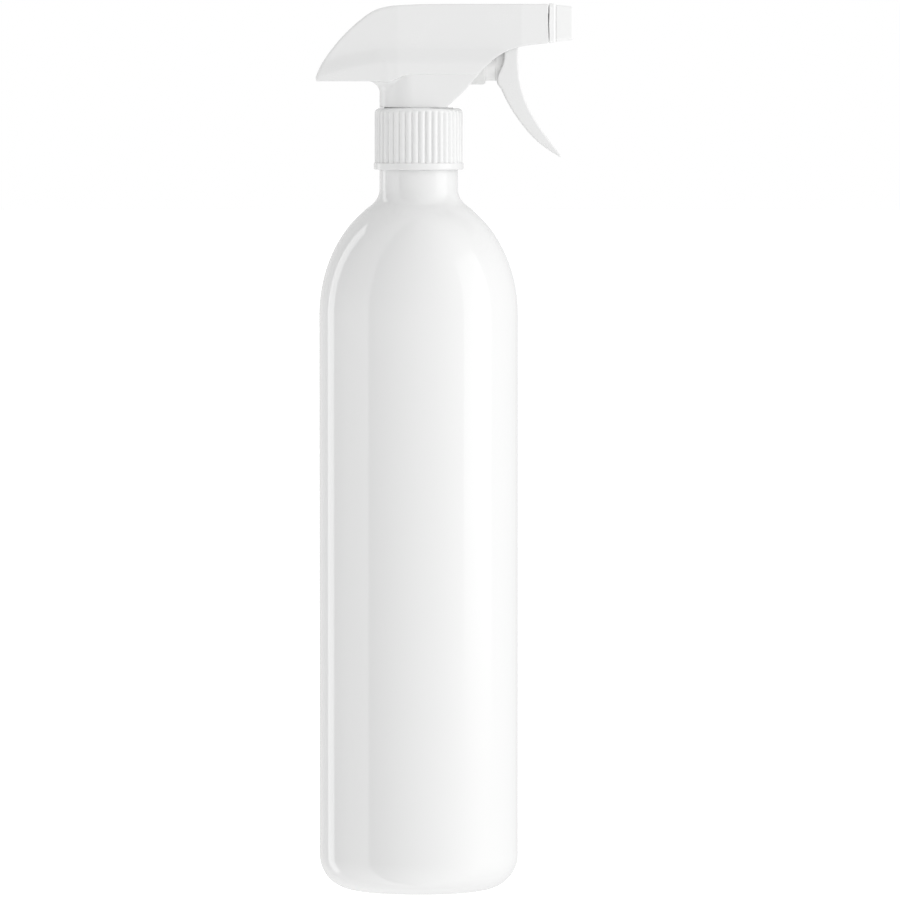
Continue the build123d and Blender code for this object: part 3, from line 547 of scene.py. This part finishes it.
# ---------------------------------------------------------------- closure
def make_closure():
    top, plate_z = CLOSURE_TOP_Z, CLOSURE_TOP_Z - PLATE_T
    groove_z = CLOSURE_Z + BAND_H
    inside_z = CLOSURE_Z + MOUTH_H
    crown = arc((CLOSURE_R - CLOSURE_ROUND, top - CLOSURE_ROUND), CLOSURE_ROUND, 0, 90, 12)
    section = [
        arc((BAND_R - BAND_FOOT_ROUND, CLOSURE_Z + BAND_FOOT_ROUND), BAND_FOOT_ROUND, -90, 0, 5),
        arc((BAND_R - BAND_TOP_ROUND, groove_z - BAND_TOP_ROUND), BAND_TOP_ROUND, 0, 80, 4),
        [(CLOSURE_R - 0.02, groove_z + 0.03), (CLOSURE_R, groove_z + 0.3)],
        upright(CLOSURE_R, groove_z + 1, top - CLOSURE_ROUND, 4)[:-1],
        crown,
        [(SEAT_RING_R + 0.05, top), (SEAT_RING_R, top + SEAT_RING_H)],
        arc((PLATE_HOLE_R + HOLE_ROUND, top + SEAT_RING_H - HOLE_ROUND), HOLE_ROUND, 90, 180, 3),
        [(PLATE_HOLE_R, plate_z), (CLOSURE_INNER_R, plate_z)],
        upright(CLOSURE_INNER_R, plate_z - 0.3, inside_z + 0.4, 62),
        [(CLOSURE_INNER_R + 0.2, inside_z + 0.1), (MOUTH_R, inside_z)],
        [(MOUTH_R, CLOSURE_Z + MOUTH_BEVEL), (MOUTH_R + MOUTH_BEVEL, CLOSURE_Z)],
    ]
    starts = np.cumsum([0] + [len(run) for run in section])
    section = np.vstack(section)
    angles = np.arange(RIB_COUNT * RIB_STEPS) * 2 * pi / (RIB_COUNT * RIB_STEPS)
    rows = np.arange(len(section))[:, None]
    radii = np.repeat(section[:, :1], len(angles), axis=1)
    heights = np.repeat(section[:, 1:], len(angles), axis=1)
    # Ribs that bulge between narrow grooves and run out in the crown
    to_groove = np.abs((angles * RIB_COUNT / (2 * pi) + 0.5) % 1 - 0.5)
    across_groove = (1 - 2 * to_groove) ** RIB_BULGE
    ribbed = (rows >= starts[2]) & (rows < starts[5])
    fade = np.clip((top - RIB_END - heights) / RIB_FADE, 0, 1) ** 0.5
    radii = radii - ribbed * fade * across_groove[None, :] * GROOVE_DEPTH
    threaded = (rows >= starts[8]) & (rows < starts[9])
    depth = CLOSURE_INNER_R - CLOSURE_CREST_R
    radii = radii - threaded * ridge(angles[None, :], heights, THREAD_Z - PITCH / 2, depth)
    points, faces = turned(radii, heights, angles)
    piece("closure_ribbed", points, faces, "closure", crease=40.0)


# ---------------------------------------------------------------- solids from distance fields
def round_max(a, b, radius):
    """Where two shapes overlap, with a convex edge of that radius."""
    outside = np.hypot(np.maximum(a + radius, 0), np.maximum(b + radius, 0))
    return np.minimum(-radius, np.maximum(a, b)) + outside


def round_min(a, b, radius):
    """Two shapes as one, with a concave fillet of that radius."""
    return -round_max(-a, -b, radius)


def ramp(value):
    """0 below 0 and 1 above 1, with soft corners."""
    soft = 0.16
    return np.clip(0.5 + 0.5 * (np.hypot(value, soft) - np.hypot(value - 1, soft)), 0, 1)


def ease(value):
    """0 below 0 and 1 above 1, smooth between."""
    value = np.clip(value, 0, 1)
    return value * value * (3 - 2 * value)


def blend(value, places):
    """0 before the first of two places and 1 past the second, smooth between."""
    start, end = places
    return ease((value - start) / (end - start))


def station(table, x):
    """A value that changes along X, from (x, value) stations."""
    return np.interp(x, [row[0] for row in table], [row[1] for row in table])


def curve_through(points, steps=24):
    """A smooth curve through a few points: a natural cubic spline over their spacing."""
    points = np.array(points, float)
    count = len(points)
    gaps = np.linalg.norm(np.diff(points, axis=0), axis=1)
    system, right = np.eye(count), np.zeros((count, 2))
    for i in range(1, count - 1):
        system[i, i - 1 : i + 2] = gaps[i - 1], 2 * (gaps[i - 1] + gaps[i]), gaps[i]
        rise_after = (points[i + 1] - points[i]) / gaps[i]
        rise_before = (points[i] - points[i - 1]) / gaps[i - 1]
        right[i] = 6 * (rise_after - rise_before)
    bend = np.linalg.solve(system, right)
    curve = []
    for i, gap in enumerate(gaps):
        t = np.linspace(0, gap, steps + 1)[:-1, None]
        left = gap - t
        curve.append(
            (bend[i] * left**3 + bend[i + 1] * t**3) / (6 * gap)
            + (points[i] / gap - bend[i] * gap / 6) * left
            + (points[i + 1] / gap - bend[i + 1] * gap / 6) * t
        )
    return np.vstack(curve + [points[-1:]])


class Outline:
    """Signed distance to a closed outline in the XZ plane, looked up on a fine grid."""

    def __init__(self, points, margin=6.0, cell=0.2):
        points = np.asarray(points, float)
        self.low = points.min(0) - margin
        self.cell = cell
        shape = np.ceil((points.max(0) + margin - self.low) / cell).astype(int) + 1
        x = self.low[0] + cell * np.arange(shape[0])[:, None]
        z = self.low[1] + cell * np.arange(shape[1])[None, :]
        nearest = np.full(shape, np.inf)
        inside = np.zeros(shape, bool)
        for (x0, z0), (x1, z1) in zip(points, np.roll(points, -1, axis=0)):
            dx, dz = x1 - x0, z1 - z0
            length = dx * dx + dz * dz
            if length == 0:
                continue
            share = np.clip(((x - x0) * dx + (z - z0) * dz) / length, 0, 1)
            away = (x - x0 - share * dx) ** 2 + (z - z0 - share * dz) ** 2
            nearest = np.minimum(nearest, away)
            if z0 != z1:
                crossing = ((z0 > z) != (z1 > z)) & (x < x0 + (z - z0) * dx / dz)
                inside ^= crossing
        self.values = np.sqrt(nearest) * np.where(inside, -1, 1)

    def __call__(self, x, z):
        """The distance at any points, negative inside."""
        top = np.array(self.values.shape) - 2
        u = np.clip((x - self.low[0]) / self.cell, 0, top[0] + 0.999)
        v = np.clip((z - self.low[1]) / self.cell, 0, top[1] + 0.999)
        i, j = u.astype(int), v.astype(int)
        u, v = u - i, v - j
        low = self.values[i, j] * (1 - u) + self.values[i + 1, j] * u
        high = self.values[i, j + 1] * (1 - u) + self.values[i + 1, j + 1] * u
        return low * (1 - v) + high * v


def skin(field, low, high, cell, steps=3):
    """A mesh of the surface where a field is zero: one point in each cell that it crosses,
    then moved on to the surface along the field's slope."""
    low, high = np.asarray(low) - 1.5 * cell, np.asarray(high) + 1.5 * cell
    axes = [np.arange(a, b + cell, cell) for a, b in zip(low, high)]
    values = field(axes[0][:, None, None], axes[1][None, :, None], axes[2][None, None, :])
    cells = np.array(values.shape) - 1
    total, count = np.zeros((*cells, 3)), np.zeros(cells)
    crossings = []
    for axis in range(3):
        turned_values = np.moveaxis(values, axis, 0)
        before, after = turned_values[:-1], turned_values[1:]
        cross = (before < 0) != (after < 0)
        share = np.where(cross, before / np.where(cross, before - after, 1), 0)
        others = [a for a in range(3) if a != axis]
        for du in (0, 1):
            for dv in (0, 1):
                u_end, v_end = du + cells[others[0]], dv + cells[others[1]]
                part = np.moveaxis(cross[:, du:u_end, dv:v_end], 0, axis)
                along = np.moveaxis(share[:, du:u_end, dv:v_end], 0, axis)
                count += part
                total[..., axis] += along
                total[..., others[0]] += part * du
                total[..., others[1]] += part * dv
        crossings.append((np.moveaxis(cross, 0, axis), np.moveaxis(before < 0, 0, axis)))
    active = np.argwhere(count > 0)
    number = np.full(cells, -1)
    number[tuple(active.T)] = np.arange(len(active))
    local = total[tuple(active.T)] / count[tuple(active.T)][:, None]
    points = low + cell * (active + local)
    faces = []
    for axis in range(3):
        cross, outwards = crossings[axis]
        u, v = (axis + 1) % 3, (axis + 2) % 3
        edges = np.argwhere(cross)
        edges = edges[(edges[:, u] > 0) & (edges[:, v] > 0)]
        edges = edges[(edges[:, u] < cells[u]) & (edges[:, v] < cells[v])]
        step_u, step_v = np.eye(3, dtype=int)[u], np.eye(3, dtype=int)[v]
        corners = [edges - step_u - step_v, edges - step_v, edges, edges - step_u]
        quads = np.stack([number[tuple(c.T)] for c in corners], 1)
        outward = outwards[tuple(edges.T)]
        faces.append(np.where(outward[:, None], quads, quads[:, ::-1]))
    slope_step = 0.04
    for _ in range(steps):
        here = field(*points.T)
        slope = np.stack(
            [
                (field(*(points + slope_step * d).T) - field(*(points - slope_step * d).T))
                / (2 * slope_step)
                for d in np.eye(3)
            ],
            1,
        )
        steep = np.maximum((slope**2).sum(1), 0.25)
        move = (here / steep)[:, None] * slope
        points = points - np.clip(move, -cell / 2, cell / 2)
    return points, np.vstack(faces).tolist()


# ---------------------------------------------------------------- shroud
def shroud_side(front_of_opening):
    """Side outline of the hood and neck. It runs on below, where planes cut it."""
    spine = curve_through(((TAIL_X, TAIL_UNDER_Z + TAIL_END_H), *SPINE, SPINE_END))
    below = SHROUD_Z - BELOW
    roof = [(0, SHROUD_TOP_Z - ROOF_DROP), (ROOF_X, SHROUD_TOP_Z)]
    roof.append((SHROUD_FRONT_X, SHROUD_TOP_Z))
    if front_of_opening:
        front = [(SHROUD_FRONT_X, below)]
    else:
        opening = curve_through(((SHROUD_FRONT_X, SHROUD_FRONT_Z), *OPENING))
        front = [*opening, (SHROUD_NECK_FRONT_X, below)]
    return np.vstack([spine, roof, front, [(TAIL_X + TAIL_FOOT_X, below)]])


def make_shroud():
    side = Outline(shroud_side(False))
    full_side = Outline(shroud_side(True))
    rib_pitch = (WEB_X - TAIL_X) / TAIL_RIBS

    def half_width(x, z):
        flare = (station(FLARE_TOP, x) - z) / (station(FLARE_TOP, x) - station(FLARE_FOOT, x))
        body = station(BODY_PLAN, x)
        return body + (station(SKIRT_PLAN, x) - body) * ramp(flare)

    def neck(x, y):
        narrower = NECK_STEP * blend(x, NECK_STEP_X)
        reach = np.where(x < SHROUD_NECK_X, np.hypot(x - SHROUD_NECK_X, y), np.abs(y))
        return reach - SHROUD_NECK_R + narrower

    def under_z(x):
        return TAIL_UNDER_Z + (NECK_FLATS_Z - TAIL_UNDER_Z) * blend(x, UNDER_X)

    def outer(x, y, z):
        # Rounder along the back than round the trigger's opening, and sharp at the nozzle
        fine = blend(x, FINE_EDGE_X) * blend(z, FINE_EDGE_Z)
        edge = SHROUD_EDGE + (SHROUD_FINE_EDGE - SHROUD_EDGE) * fine
        edge = edge * blend(x, BLUNT_X)
        hood = np.abs(y) - half_width(x, z)
        under_edge = SKIRT_EDGE + (TAIL_EDGE - SKIRT_EDGE) * blend(x, TAIL_EDGE_X)
        hood = round_max(hood, under_z(x) - z, under_edge)
        column = np.maximum(neck(x, y), z - NECK_FLATS_Z - NECK_OVERLAP)
        fillet = CREASE + (TAIL_FILLET - CREASE) * blend(x, FILLET_X)
        body = round_min(hood, column, fillet)
        body = round_max(body, side(x, z), edge)
        body = round_max(body, x - SHROUD_FRONT_X, SHROUD_FRONT_EDGE)
        return round_max(body, SHROUD_Z - z, SHROUD_FOOT_EDGE)

    def room(x, y, z):
        floor_z = np.where(x < WEB_X + WALL / 2, TAIL_UNDER_Z - 3, under_z(x) + WALL)
        hood = np.maximum(np.abs(y) - half_width(x, z) + WALL, floor_z - z)
        column = np.maximum(neck(x, y) + WALL, z - NECK_FLATS_Z - 2 * WALL)
        open_space = np.maximum(np.minimum(hood, column), full_side(x, z) + WALL)
        for rib in range(TAIL_RIBS):
            middle = WEB_X + WALL / 2 - rib * rib_pitch
            open_space = round_max(open_space, WALL / 2 - np.abs(x - middle), RIB_FILLET)
        return open_space

    def field(x, y, z):
        shell = round_max(outer(x, y, z), -room(x, y, z), INNER_EDGE)
        slot = np.hypot(y, np.maximum(z - NOZZLE_Z, 0)) - TUBE_SLOT_R
        slot = np.maximum(slot, SHROUD_FRONT_X - 2 * WALL - x)
        return round_max(shell, -slot, INNER_EDGE)

    points, faces = skin(field, SHROUD_LOW, SHROUD_HIGH, SHROUD_CELL)
    points = np.clip(points, SHROUD_LOW, SHROUD_HIGH)
    piece("shroud_shell", points, faces, "shroud", crease=50.0)


# ---------------------------------------------------------------- trigger
def trigger_side():
    """Side outline of the trigger's lever, up to where its ears start."""
    back = curve_through((TIP[1], *BACK_EDGE))
    hook = curve_through((BACK_EDGE[-1], *HOOK))
    return np.vstack([curve_through(FRONT_EDGE), TIP[:1], back, hook, EARS, FRONT_EDGE[:1]])


def make_trigger():
    side = Outline(trigger_side())
    front = curve_through(FRONT_EDGE)
    along = np.gradient(front, axis=0)
    along /= np.linalg.norm(along, axis=1)[:, None]
    inner = front + TRIGGER_FRONT * np.stack([along[:, 1], -along[:, 0]], 1)
    inner = inner[: int(CHANNEL_SHARE * len(inner))]
    above = (inner[0, 0], CHANNEL_BACK[1][1])
    channel = Outline(np.vstack([inner, CHANNEL_BACK, [above]]))
    inner_half = TRIGGER_HALF - TRIGGER_WALL

    def field(x, y, z):
        width = np.abs(y) - TRIGGER_HALF
        ear = np.hypot(x - PIVOT_X, z - PIVOT_Z) - EAR_R
        profile = round_min(side(x, z), ear, EAR_FILLET)
        edge = TIP_EDGE + (TRIGGER_EDGE - TIP_EDGE) * blend(z, TIP_EDGE_Z)
        lever = round_max(width, profile, edge)
        hollow = np.maximum(np.abs(y) - inner_half, channel(x, z))
        split = np.maximum(np.abs(y) - inner_half, EAR_SPLIT_Z - z)
        lever = round_max(lever, -np.minimum(hollow, split), CHANNEL_EDGE)
        cam = np.maximum(np.hypot(x - CAM_X, z - BARREL_Z) - CAM_R, x - CAM_X - CAM_DEPTH)
        cam = round_max(cam, np.abs(y) - CAM_HALF, CAM_EDGE)
        lever = round_min(lever, cam, CAM_FILLET)
        return round_max(lever, EAR_BORE_R - np.hypot(x - PIVOT_X, z - PIVOT_Z), INNER_EDGE)

    points, faces = skin(field, TRIGGER_LOW, TRIGGER_HIGH, TRIGGER_CELL)
    points = np.clip(points, TRIGGER_LOW, TRIGGER_HIGH)
    piece("trigger_lever", points, faces, "trigger", crease=50.0)


# ---------------------------------------------------------------- nozzle
def square(y, z, half):
    """Distance to a square bar with rounded corners, centred on the nozzle's axis."""
    u = np.abs(y) - half + CORNER_R
    v = np.abs(z - NOZZLE_Z) - half + CORNER_R
    return np.hypot(np.maximum(u, 0), np.maximum(v, 0)) + np.minimum(np.maximum(u, v), 0) - CORNER_R


def make_collar():
    start, end, half = COLLAR_LOW[0], COLLAR_HIGH[0], COLLAR_HIGH[1]

    def field(x, y, z):
        bar = round_max(square(y, z, half), start - x, COLLAR_REAR_EDGE)
        bevel = (square(y, z, half) + x - end + COLLAR_BEVEL) / np.sqrt(2)
        bar = round_max(np.maximum(bar, x - end), bevel, FINE_EDGE)
        boss = np.maximum(np.hypot(y, z - NOZZLE_Z) - BOSS_R, x - start - 0.5)
        bar = np.minimum(bar, np.maximum(boss, start - BOSS_T - x))
        return round_max(bar, NOSE_BORE_R - np.hypot(y, z - NOZZLE_Z), FINE_EDGE)

    points, faces = skin(field, COLLAR_LOW - (BOSS_T, 0, 0), COLLAR_HIGH, NOZZLE_CELL)
    piece("nozzle_collar_square", points, faces, "nozzle_collar")


def make_cap():
    start, end = CAP_LOW[0], CAP_HIGH[0]

    def field(x, y, z):
        axis_r = np.hypot(y, z - NOZZLE_Z)
        share = (x - start) / (end - start)
        bar = square(y, z, CAP_REAR_HALF + (CAP_FRONT_HALF - CAP_REAR_HALF) * share)
        bar = round_max(bar, start - x, CAP_REAR_EDGE)
        bar = round_max(bar, x - end, CAP_FRONT_EDGE)
        bar = round_max(bar, -np.maximum(axis_r - DISH_R, end - DISH_DEPTH - x), INNER_EDGE)
        bore = np.maximum(axis_r - NOSE_BORE_R, x - NOSE_END_X - BORE_CLEARANCE)
        bar = np.maximum(bar, -bore)
        return np.maximum(bar, INSERT_R - axis_r)

    points, faces = skin(field, CAP_LOW, CAP_HIGH, NOZZLE_CELL)
    piece("nozzle_cap_square", np.clip(points, CAP_LOW, CAP_HIGH), faces, "nozzle_cap")


# ---------------------------------------------------------------- piston and springs
def make_piston():
    back, nose = PISTON_LOW[0], PISTON_HIGH[0]
    bore_end, head = nose - PISTON_NOSE_T, nose - PISTON_HEAD_L
    groove_r = PISTON_BORE_R + SEAL_GROOVE

    def field(x, y, z):
        up = z - BARREL_Z
        reach = np.hypot(y, up)
        rod = round_max(reach - PISTON_R, back + SEAL_LENGTH - x, INNER_EDGE)
        rod = np.minimum(rod, round_max(reach - groove_r, back - x, FINE_EDGE))
        rod = np.maximum(rod, x - head - 0.5)
        # The head in front of the barrel is a square with round corners, cut for the cam
        block = (np.abs(y) ** HEAD_POWER + np.abs(up) ** HEAD_POWER) ** (1 / HEAD_POWER)
        block = np.maximum(block - PISTON_R, head - x)
        block = round_max(block, x - nose - PISTON_LIP, LIP_EDGE)
        slot = np.maximum(np.abs(y) - CAM_SLOT, nose - x)
        block = round_max(block, -slot, INNER_EDGE)
        bore = np.maximum(reach - PISTON_BORE_R, x - bore_end)
        return round_max(np.minimum(rod, block), -bore, FINE_EDGE)

    high = PISTON_HIGH + (PISTON_LIP, 0, 0)
    points, faces = skin(field, PISTON_LOW, high, PISTON_CELL)
    points = np.clip(points, PISTON_LOW, high)
    piece("piston_plunger", points, faces, "piston", crease=50.0)


def make_ball():
    low, high = limits("inlet_ball")
    centre, radius = (low[2] + high[2]) / 2, high[0]
    section = arc((0, centre), radius, -87, 87, 30)
    angles = np.arange(BALL_SIDES) * 2 * pi / BALL_SIDES
    radii = np.repeat(section[:, :1], len(angles), axis=1)
    points, faces = turned(radii, section[:, 1:], angles, (centre - radius, centre + radius))
    piece("steel_ball", points, faces, "inlet_ball")


def coil(name, cad_node, turns, wire_r):
    """A compression spring with closed end turns, along X inside its CAD node's box."""
    low, high = limits(cad_node)
    centre_z, mean_r = (low[2] + high[2]) / 2, high[1] - wire_r
    start, end = low[0] + wire_r, high[0] - wire_r
    share = np.linspace(0, 1, int(turns * COIL_STEPS) + 1)
    closed = CLOSED_TURNS / turns
    rise = np.interp(share, [0, closed, 1 - closed, 1], [0, CLOSED_RISE, 1 - CLOSED_RISE, 1])
    x = start + (end - start) * rise
    phase = 2 * pi * turns * share
    radial = np.stack([np.zeros_like(phase), np.cos(phase), np.sin(phase)], 1)
    path = np.stack([x, mean_r * radial[:, 1], centre_z + mean_r * radial[:, 2]], 1)
    tangent = np.gradient(path, axis=0)
    tangent /= np.linalg.norm(tangent, axis=1)[:, None]
    side = np.cross(tangent, radial)
    around = np.arange(WIRE_SIDES) * 2 * pi / WIRE_SIDES
    ring = radial[:, None] * np.cos(around)[:, None] + side[:, None] * np.sin(around)[:, None]
    points = (path[:, None] + wire_r * ring).reshape(-1, 3)
    index = np.arange(len(points)).reshape(len(path), WIRE_SIDES)
    beside = np.roll(index, -1, axis=1)
    quads = np.stack([index[:-1], beside[:-1], beside[1:], index[1:]], 2).reshape(-1, 4).tolist()
    faces = quads + [index[0][::-1].tolist(), index[-1].tolist()]
    return piece(name, np.clip(points, low, high), faces, cad_node, crease=60.0)


def make_springs():
    pushed = coil("return_coil", "return_spring", RETURN_TURNS, RETURN_WIRE_R)
    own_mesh(pushed)
    valve = coil("outlet_coil", "outlet_spring", OUTLET_TURNS, OUTLET_WIRE_R)
    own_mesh(valve)


# ---------------------------------------------------------------- CAD pieces that stay
def finish_cad_nodes():
    """A procedural material on each CAD node that no mesh above stands for."""
    for name, obj in frame["nodes"].items():
        if obj.hide_render:
            continue
        if not obj.material_slots:
            obj.data.materials.append(None)
        for slot in obj.material_slots:
            slot.material = MATERIALS[SLOTS[name]]


# ---------------------------------------------------------------- floor, light and camera
CAMERA_X = 0.0118
CAMERA_Z = 0.31
CAMERA_BACK = 2.94
CAMERA_AIM_Z = 0.1658
CAMERA_LENS = 312.2

FLOOR_GLOW = 0.62
LIGHT_LEVEL = 1.012
LIGHT_LOSS_UP = 0.9
LIGHT_GAIN_BELOW = 0.15
# The loss upwards grows towards the left, from none at the first X to its limit
LOSS_FROM_X = 0.2
LOSS_LIMIT = 0.5
# Light from each side: azimuth from -Y towards +X in degrees, and level
LIGHT_ROUND = (
    (-180, 0.8),
    (-150, 0.9),
    (-113, 0.76),
    (-100, 0.95),
    (-90, 1.2),
    (-61, 1.4),
    (-59, 0.06),
    (-45, 0.28),
    (-22, 0.75),
    (0, 1.02),
    (20, 1.05),
    (45, 1.2),
    (75, 1.2),
    (100, 0.85),
    (120, 0.75),
    (150, 0.75),
    (180, 0.8),
)
BRIGHTEST = 2.0
# Light panels: name, azimuth in degrees, width and foot in metres, level, and how much of
# them fades out at their sides and at their top and foot
PANELS = (
    ("softbox_right", 72.5, 0.86, -0.1, 2.25, (0.03, 0.16)),
    ("strip_left", -122, 0.34, -0.66, 2.2, (0.08, 0.05)),
)
PANEL_DISTANCE = 1.2
PANEL_TOP = 1.3
FLOOR_RINGS = (0.3, 1.0, 3.0, 14.0)
FLOOR_SIDES = 96
FLOOR_DROP = 0.0001


def make_floor():
    """A wide white sweep: a disc that the bottle stands on, lit like a light table."""
    rings = np.array(FLOOR_RINGS)[:, None]
    angles = np.arange(FLOOR_SIDES) * 2 * pi / FLOOR_SIDES
    level = np.zeros((len(rings), FLOOR_SIDES))
    points = np.stack([rings * np.cos(angles), rings * np.sin(angles), level], 2).reshape(-1, 3)
    index = np.arange(level.size).reshape(level.shape)
    beside = np.roll(index, -1, axis=1)
    quads = np.stack([index[:-1], index[1:], beside[1:], beside[:-1]], 2).reshape(-1, 4).tolist()
    mesh = bpy.data.meshes.new("floor")
    mesh.from_pydata(points.tolist(), [], quads + [index[0].tolist()])
    floor = bpy.data.objects.new("floor", mesh)
    floor.location.z = -FLOOR_DROP
    bpy.context.scene.collection.objects.link(floor)
    material = bpy.data.materials.new("floor_white")
    material.use_nodes = True
    shader = material.node_tree.nodes["Principled BSDF"]
    shader.inputs["Base Color"].default_value = (0.8, 0.8, 0.8, 1)
    shader.inputs["Roughness"].default_value = 0.9
    shader.inputs["Specular IOR Level"].default_value = 0.0
    shader.inputs["Emission Color"].default_value = (1, 1, 1, 1)
    shader.inputs["Emission Strength"].default_value = FLOOR_GLOW
    # Clear from below, so that the underside can be seen
    tree = material.node_tree
    facing = tree.nodes.new("ShaderNodeNewGeometry").outputs["Backfacing"]
    clear = node(tree, "ShaderNodeBsdfTransparent")
    one_sided = node(
        tree,
        "ShaderNodeMixShader",
        {0: facing, 1: shader.outputs["BSDF"], 2: clear.outputs["BSDF"]},
    )
    output = tree.nodes["Material Output"]
    tree.links.new(one_sided.outputs["Shader"], output.inputs["Surface"])
    mesh.materials.append(material)
    floor.visible_diffuse = False
    floor.visible_glossy = False
    floor.visible_shadow = False


def make_world():
    """Soft light from all round, brightest from the right, and a little less from above."""
    world = bpy.data.worlds.new("studio")
    bpy.context.scene.world = world
    world.use_nodes = True
    tree = world.node_tree
    direction = tree.nodes.new("ShaderNodeTexCoord").outputs["Generated"]
    parts = node(tree, "ShaderNodeSeparateXYZ", {0: direction})
    front = node(tree, "ShaderNodeMath", {0: parts.outputs["Y"], 1: -1.0}, operation="MULTIPLY")
    azimuth = node(
        tree, "ShaderNodeMath", {0: parts.outputs["X"], 1: front.outputs[0]}, operation="ARCTAN2"
    )
    place = node(
        tree,
        "ShaderNodeMath",
        {0: azimuth.outputs[0], 1: 1 / (2 * pi), 2: 0.5},
        operation="MULTIPLY_ADD",
    )
    round_about = node(tree, "ShaderNodeValToRGB", {"Fac": place.outputs[0]})
    stops = round_about.color_ramp.elements
    for index, (degrees, level) in enumerate(LIGHT_ROUND):
        where = degrees / 360 + 0.5
        stop = stops.new(where) if 0 < index < len(LIGHT_ROUND) - 1 else stops[-1 if index else 0]
        stop.position = where
        stop.color = (level / BRIGHTEST,) * 3 + (1.0,)
    above = node(tree, "ShaderNodeMath", {0: parts.outputs["Z"], 1: 0.0}, operation="MAXIMUM")
    leftward = node(
        tree,
        "ShaderNodeMath",
        {0: parts.outputs["X"], 1: -1.0, 2: LOSS_FROM_X},
        operation="MULTIPLY_ADD",
    )
    leftward = node(
        tree, "ShaderNodeMath", {0: leftward.outputs[0], 1: LOSS_LIMIT}, operation="MINIMUM"
    )
    above = node(
        tree, "ShaderNodeMath", {0: above.outputs[0], 1: leftward.outputs[0]}, operation="MULTIPLY"
    )
    below = node(tree, "ShaderNodeMath", {0: parts.outputs["Z"], 1: 0.0}, operation="MINIMUM")
    above = node(
        tree,
        "ShaderNodeMath",
        {0: below.outputs[0], 1: LIGHT_GAIN_BELOW / LIGHT_LOSS_UP, 2: above.outputs[0]},
        operation="MULTIPLY_ADD",
    )
    loss = node(
        tree,
        "ShaderNodeMath",
        {
            0: above.outputs[0],
            1: -LIGHT_LOSS_UP * LIGHT_LEVEL * BRIGHTEST,
            2: LIGHT_LEVEL * BRIGHTEST,
        },
        operation="MULTIPLY_ADD",
    )
    level = node(
        tree,
        "ShaderNodeMath",
        {0: round_about.outputs["Color"], 1: loss.outputs[0]},
        operation="MULTIPLY",
    )
    seen = tree.nodes.new("ShaderNodeLightPath").outputs["Is Camera Ray"]
    strength = node(tree, "ShaderNodeMath", {0: level.outputs[0], 1: seen}, operation="MAXIMUM")
    background = tree.nodes["Background"]
    background.inputs["Color"].default_value = (1, 1, 1, 1)
    tree.links.new(strength.outputs[0], background.inputs["Strength"])


def panel(name, azimuth, width, low, strength, soft):
    """An upright light panel that faces the bottle. Azimuth is from -Y towards +X."""
    across = Vector((np.cos(azimuth), np.sin(azimuth), 0))
    middle = Vector((np.sin(azimuth), -np.cos(azimuth), 0)) * PANEL_DISTANCE
    half = across * width / 2
    heights = (low, PANEL_TOP)
    corners = [middle + side * half + Vector((0, 0, z)) for z in heights for side in (-1, 1)]
    mesh = bpy.data.meshes.new(name)
    mesh.from_pydata([tuple(c) for c in corners], [], [(0, 1, 3, 2)])
    layer = mesh.uv_layers.new(name="panel")
    for loop, uv in enumerate(((0, 0), (1, 0), (1, 1), (0, 1))):
        layer.data[loop].uv = uv
    made = bpy.data.objects.new(name, mesh)
    bpy.context.scene.collection.objects.link(made)
    material = bpy.data.materials.new(name)
    material.use_nodes = True
    tree = material.node_tree
    flat = tree.nodes.new("ShaderNodeTexCoord").outputs["UV"]
    place = node(tree, "ShaderNodeSeparateXYZ", {0: flat})
    fades = []
    for axis, edge in (("X", soft[0]), ("Y", soft[1])):
        inwards = node(
            tree, "ShaderNodeMath", {0: place.outputs[axis], 1: 0.5}, operation="SUBTRACT"
        )
        inwards = node(tree, "ShaderNodeMath", {0: inwards.outputs[0]}, operation="ABSOLUTE")
        fade = node(
            tree,
            "ShaderNodeMapRange",
            {"Value": inwards.outputs[0], "From Min": 0.5, "From Max": 0.5 - edge},
            interpolation_type="SMOOTHSTEP",
        )
        fades.append(fade.outputs["Result"])
    glow = node(tree, "ShaderNodeMath", {0: fades[0], 1: fades[1]}, operation="MULTIPLY")
    light = node(tree, "ShaderNodeEmission", {"Strength": strength})
    clear = node(tree, "ShaderNodeBsdfTransparent")
    edged = node(
        tree, "ShaderNodeMixShader", {0: glow.outputs[0], 1: clear.outputs[0], 2: light.outputs[0]}
    )
    tree.links.new(edged.outputs[0], tree.nodes["Material Output"].inputs["Surface"])
    mesh.materials.append(material)
    made.visible_camera = False
    made.visible_shadow = False
    made.visible_diffuse = False


def make_camera():
    data = bpy.data.cameras.new("camera")
    data.lens = CAMERA_LENS
    data.sensor_width = 36.0
    data.clip_end = 50.0
    camera = bpy.data.objects.new("camera", data)
    camera.location = (CAMERA_X, -CAMERA_BACK, CAMERA_Z)
    aim = Vector((CAMERA_X, 0, CAMERA_AIM_Z)) - camera.location
    camera.rotation_euler = aim.to_track_quat("-Z", "Y").to_euler()
    bpy.context.scene.collection.objects.link(camera)
    bpy.context.scene.camera = camera


make_bottle()
make_closure()
make_shroud()
make_trigger()
make_collar()
make_cap()
make_piston()
make_ball()
make_springs()
finish_cad_nodes()
make_floor()
make_world()
for name, azimuth, *rest in PANELS:
    panel(name, radians(azimuth), *rest)
make_camera()
bpy.context.scene.view_settings.view_transform = "Standard"
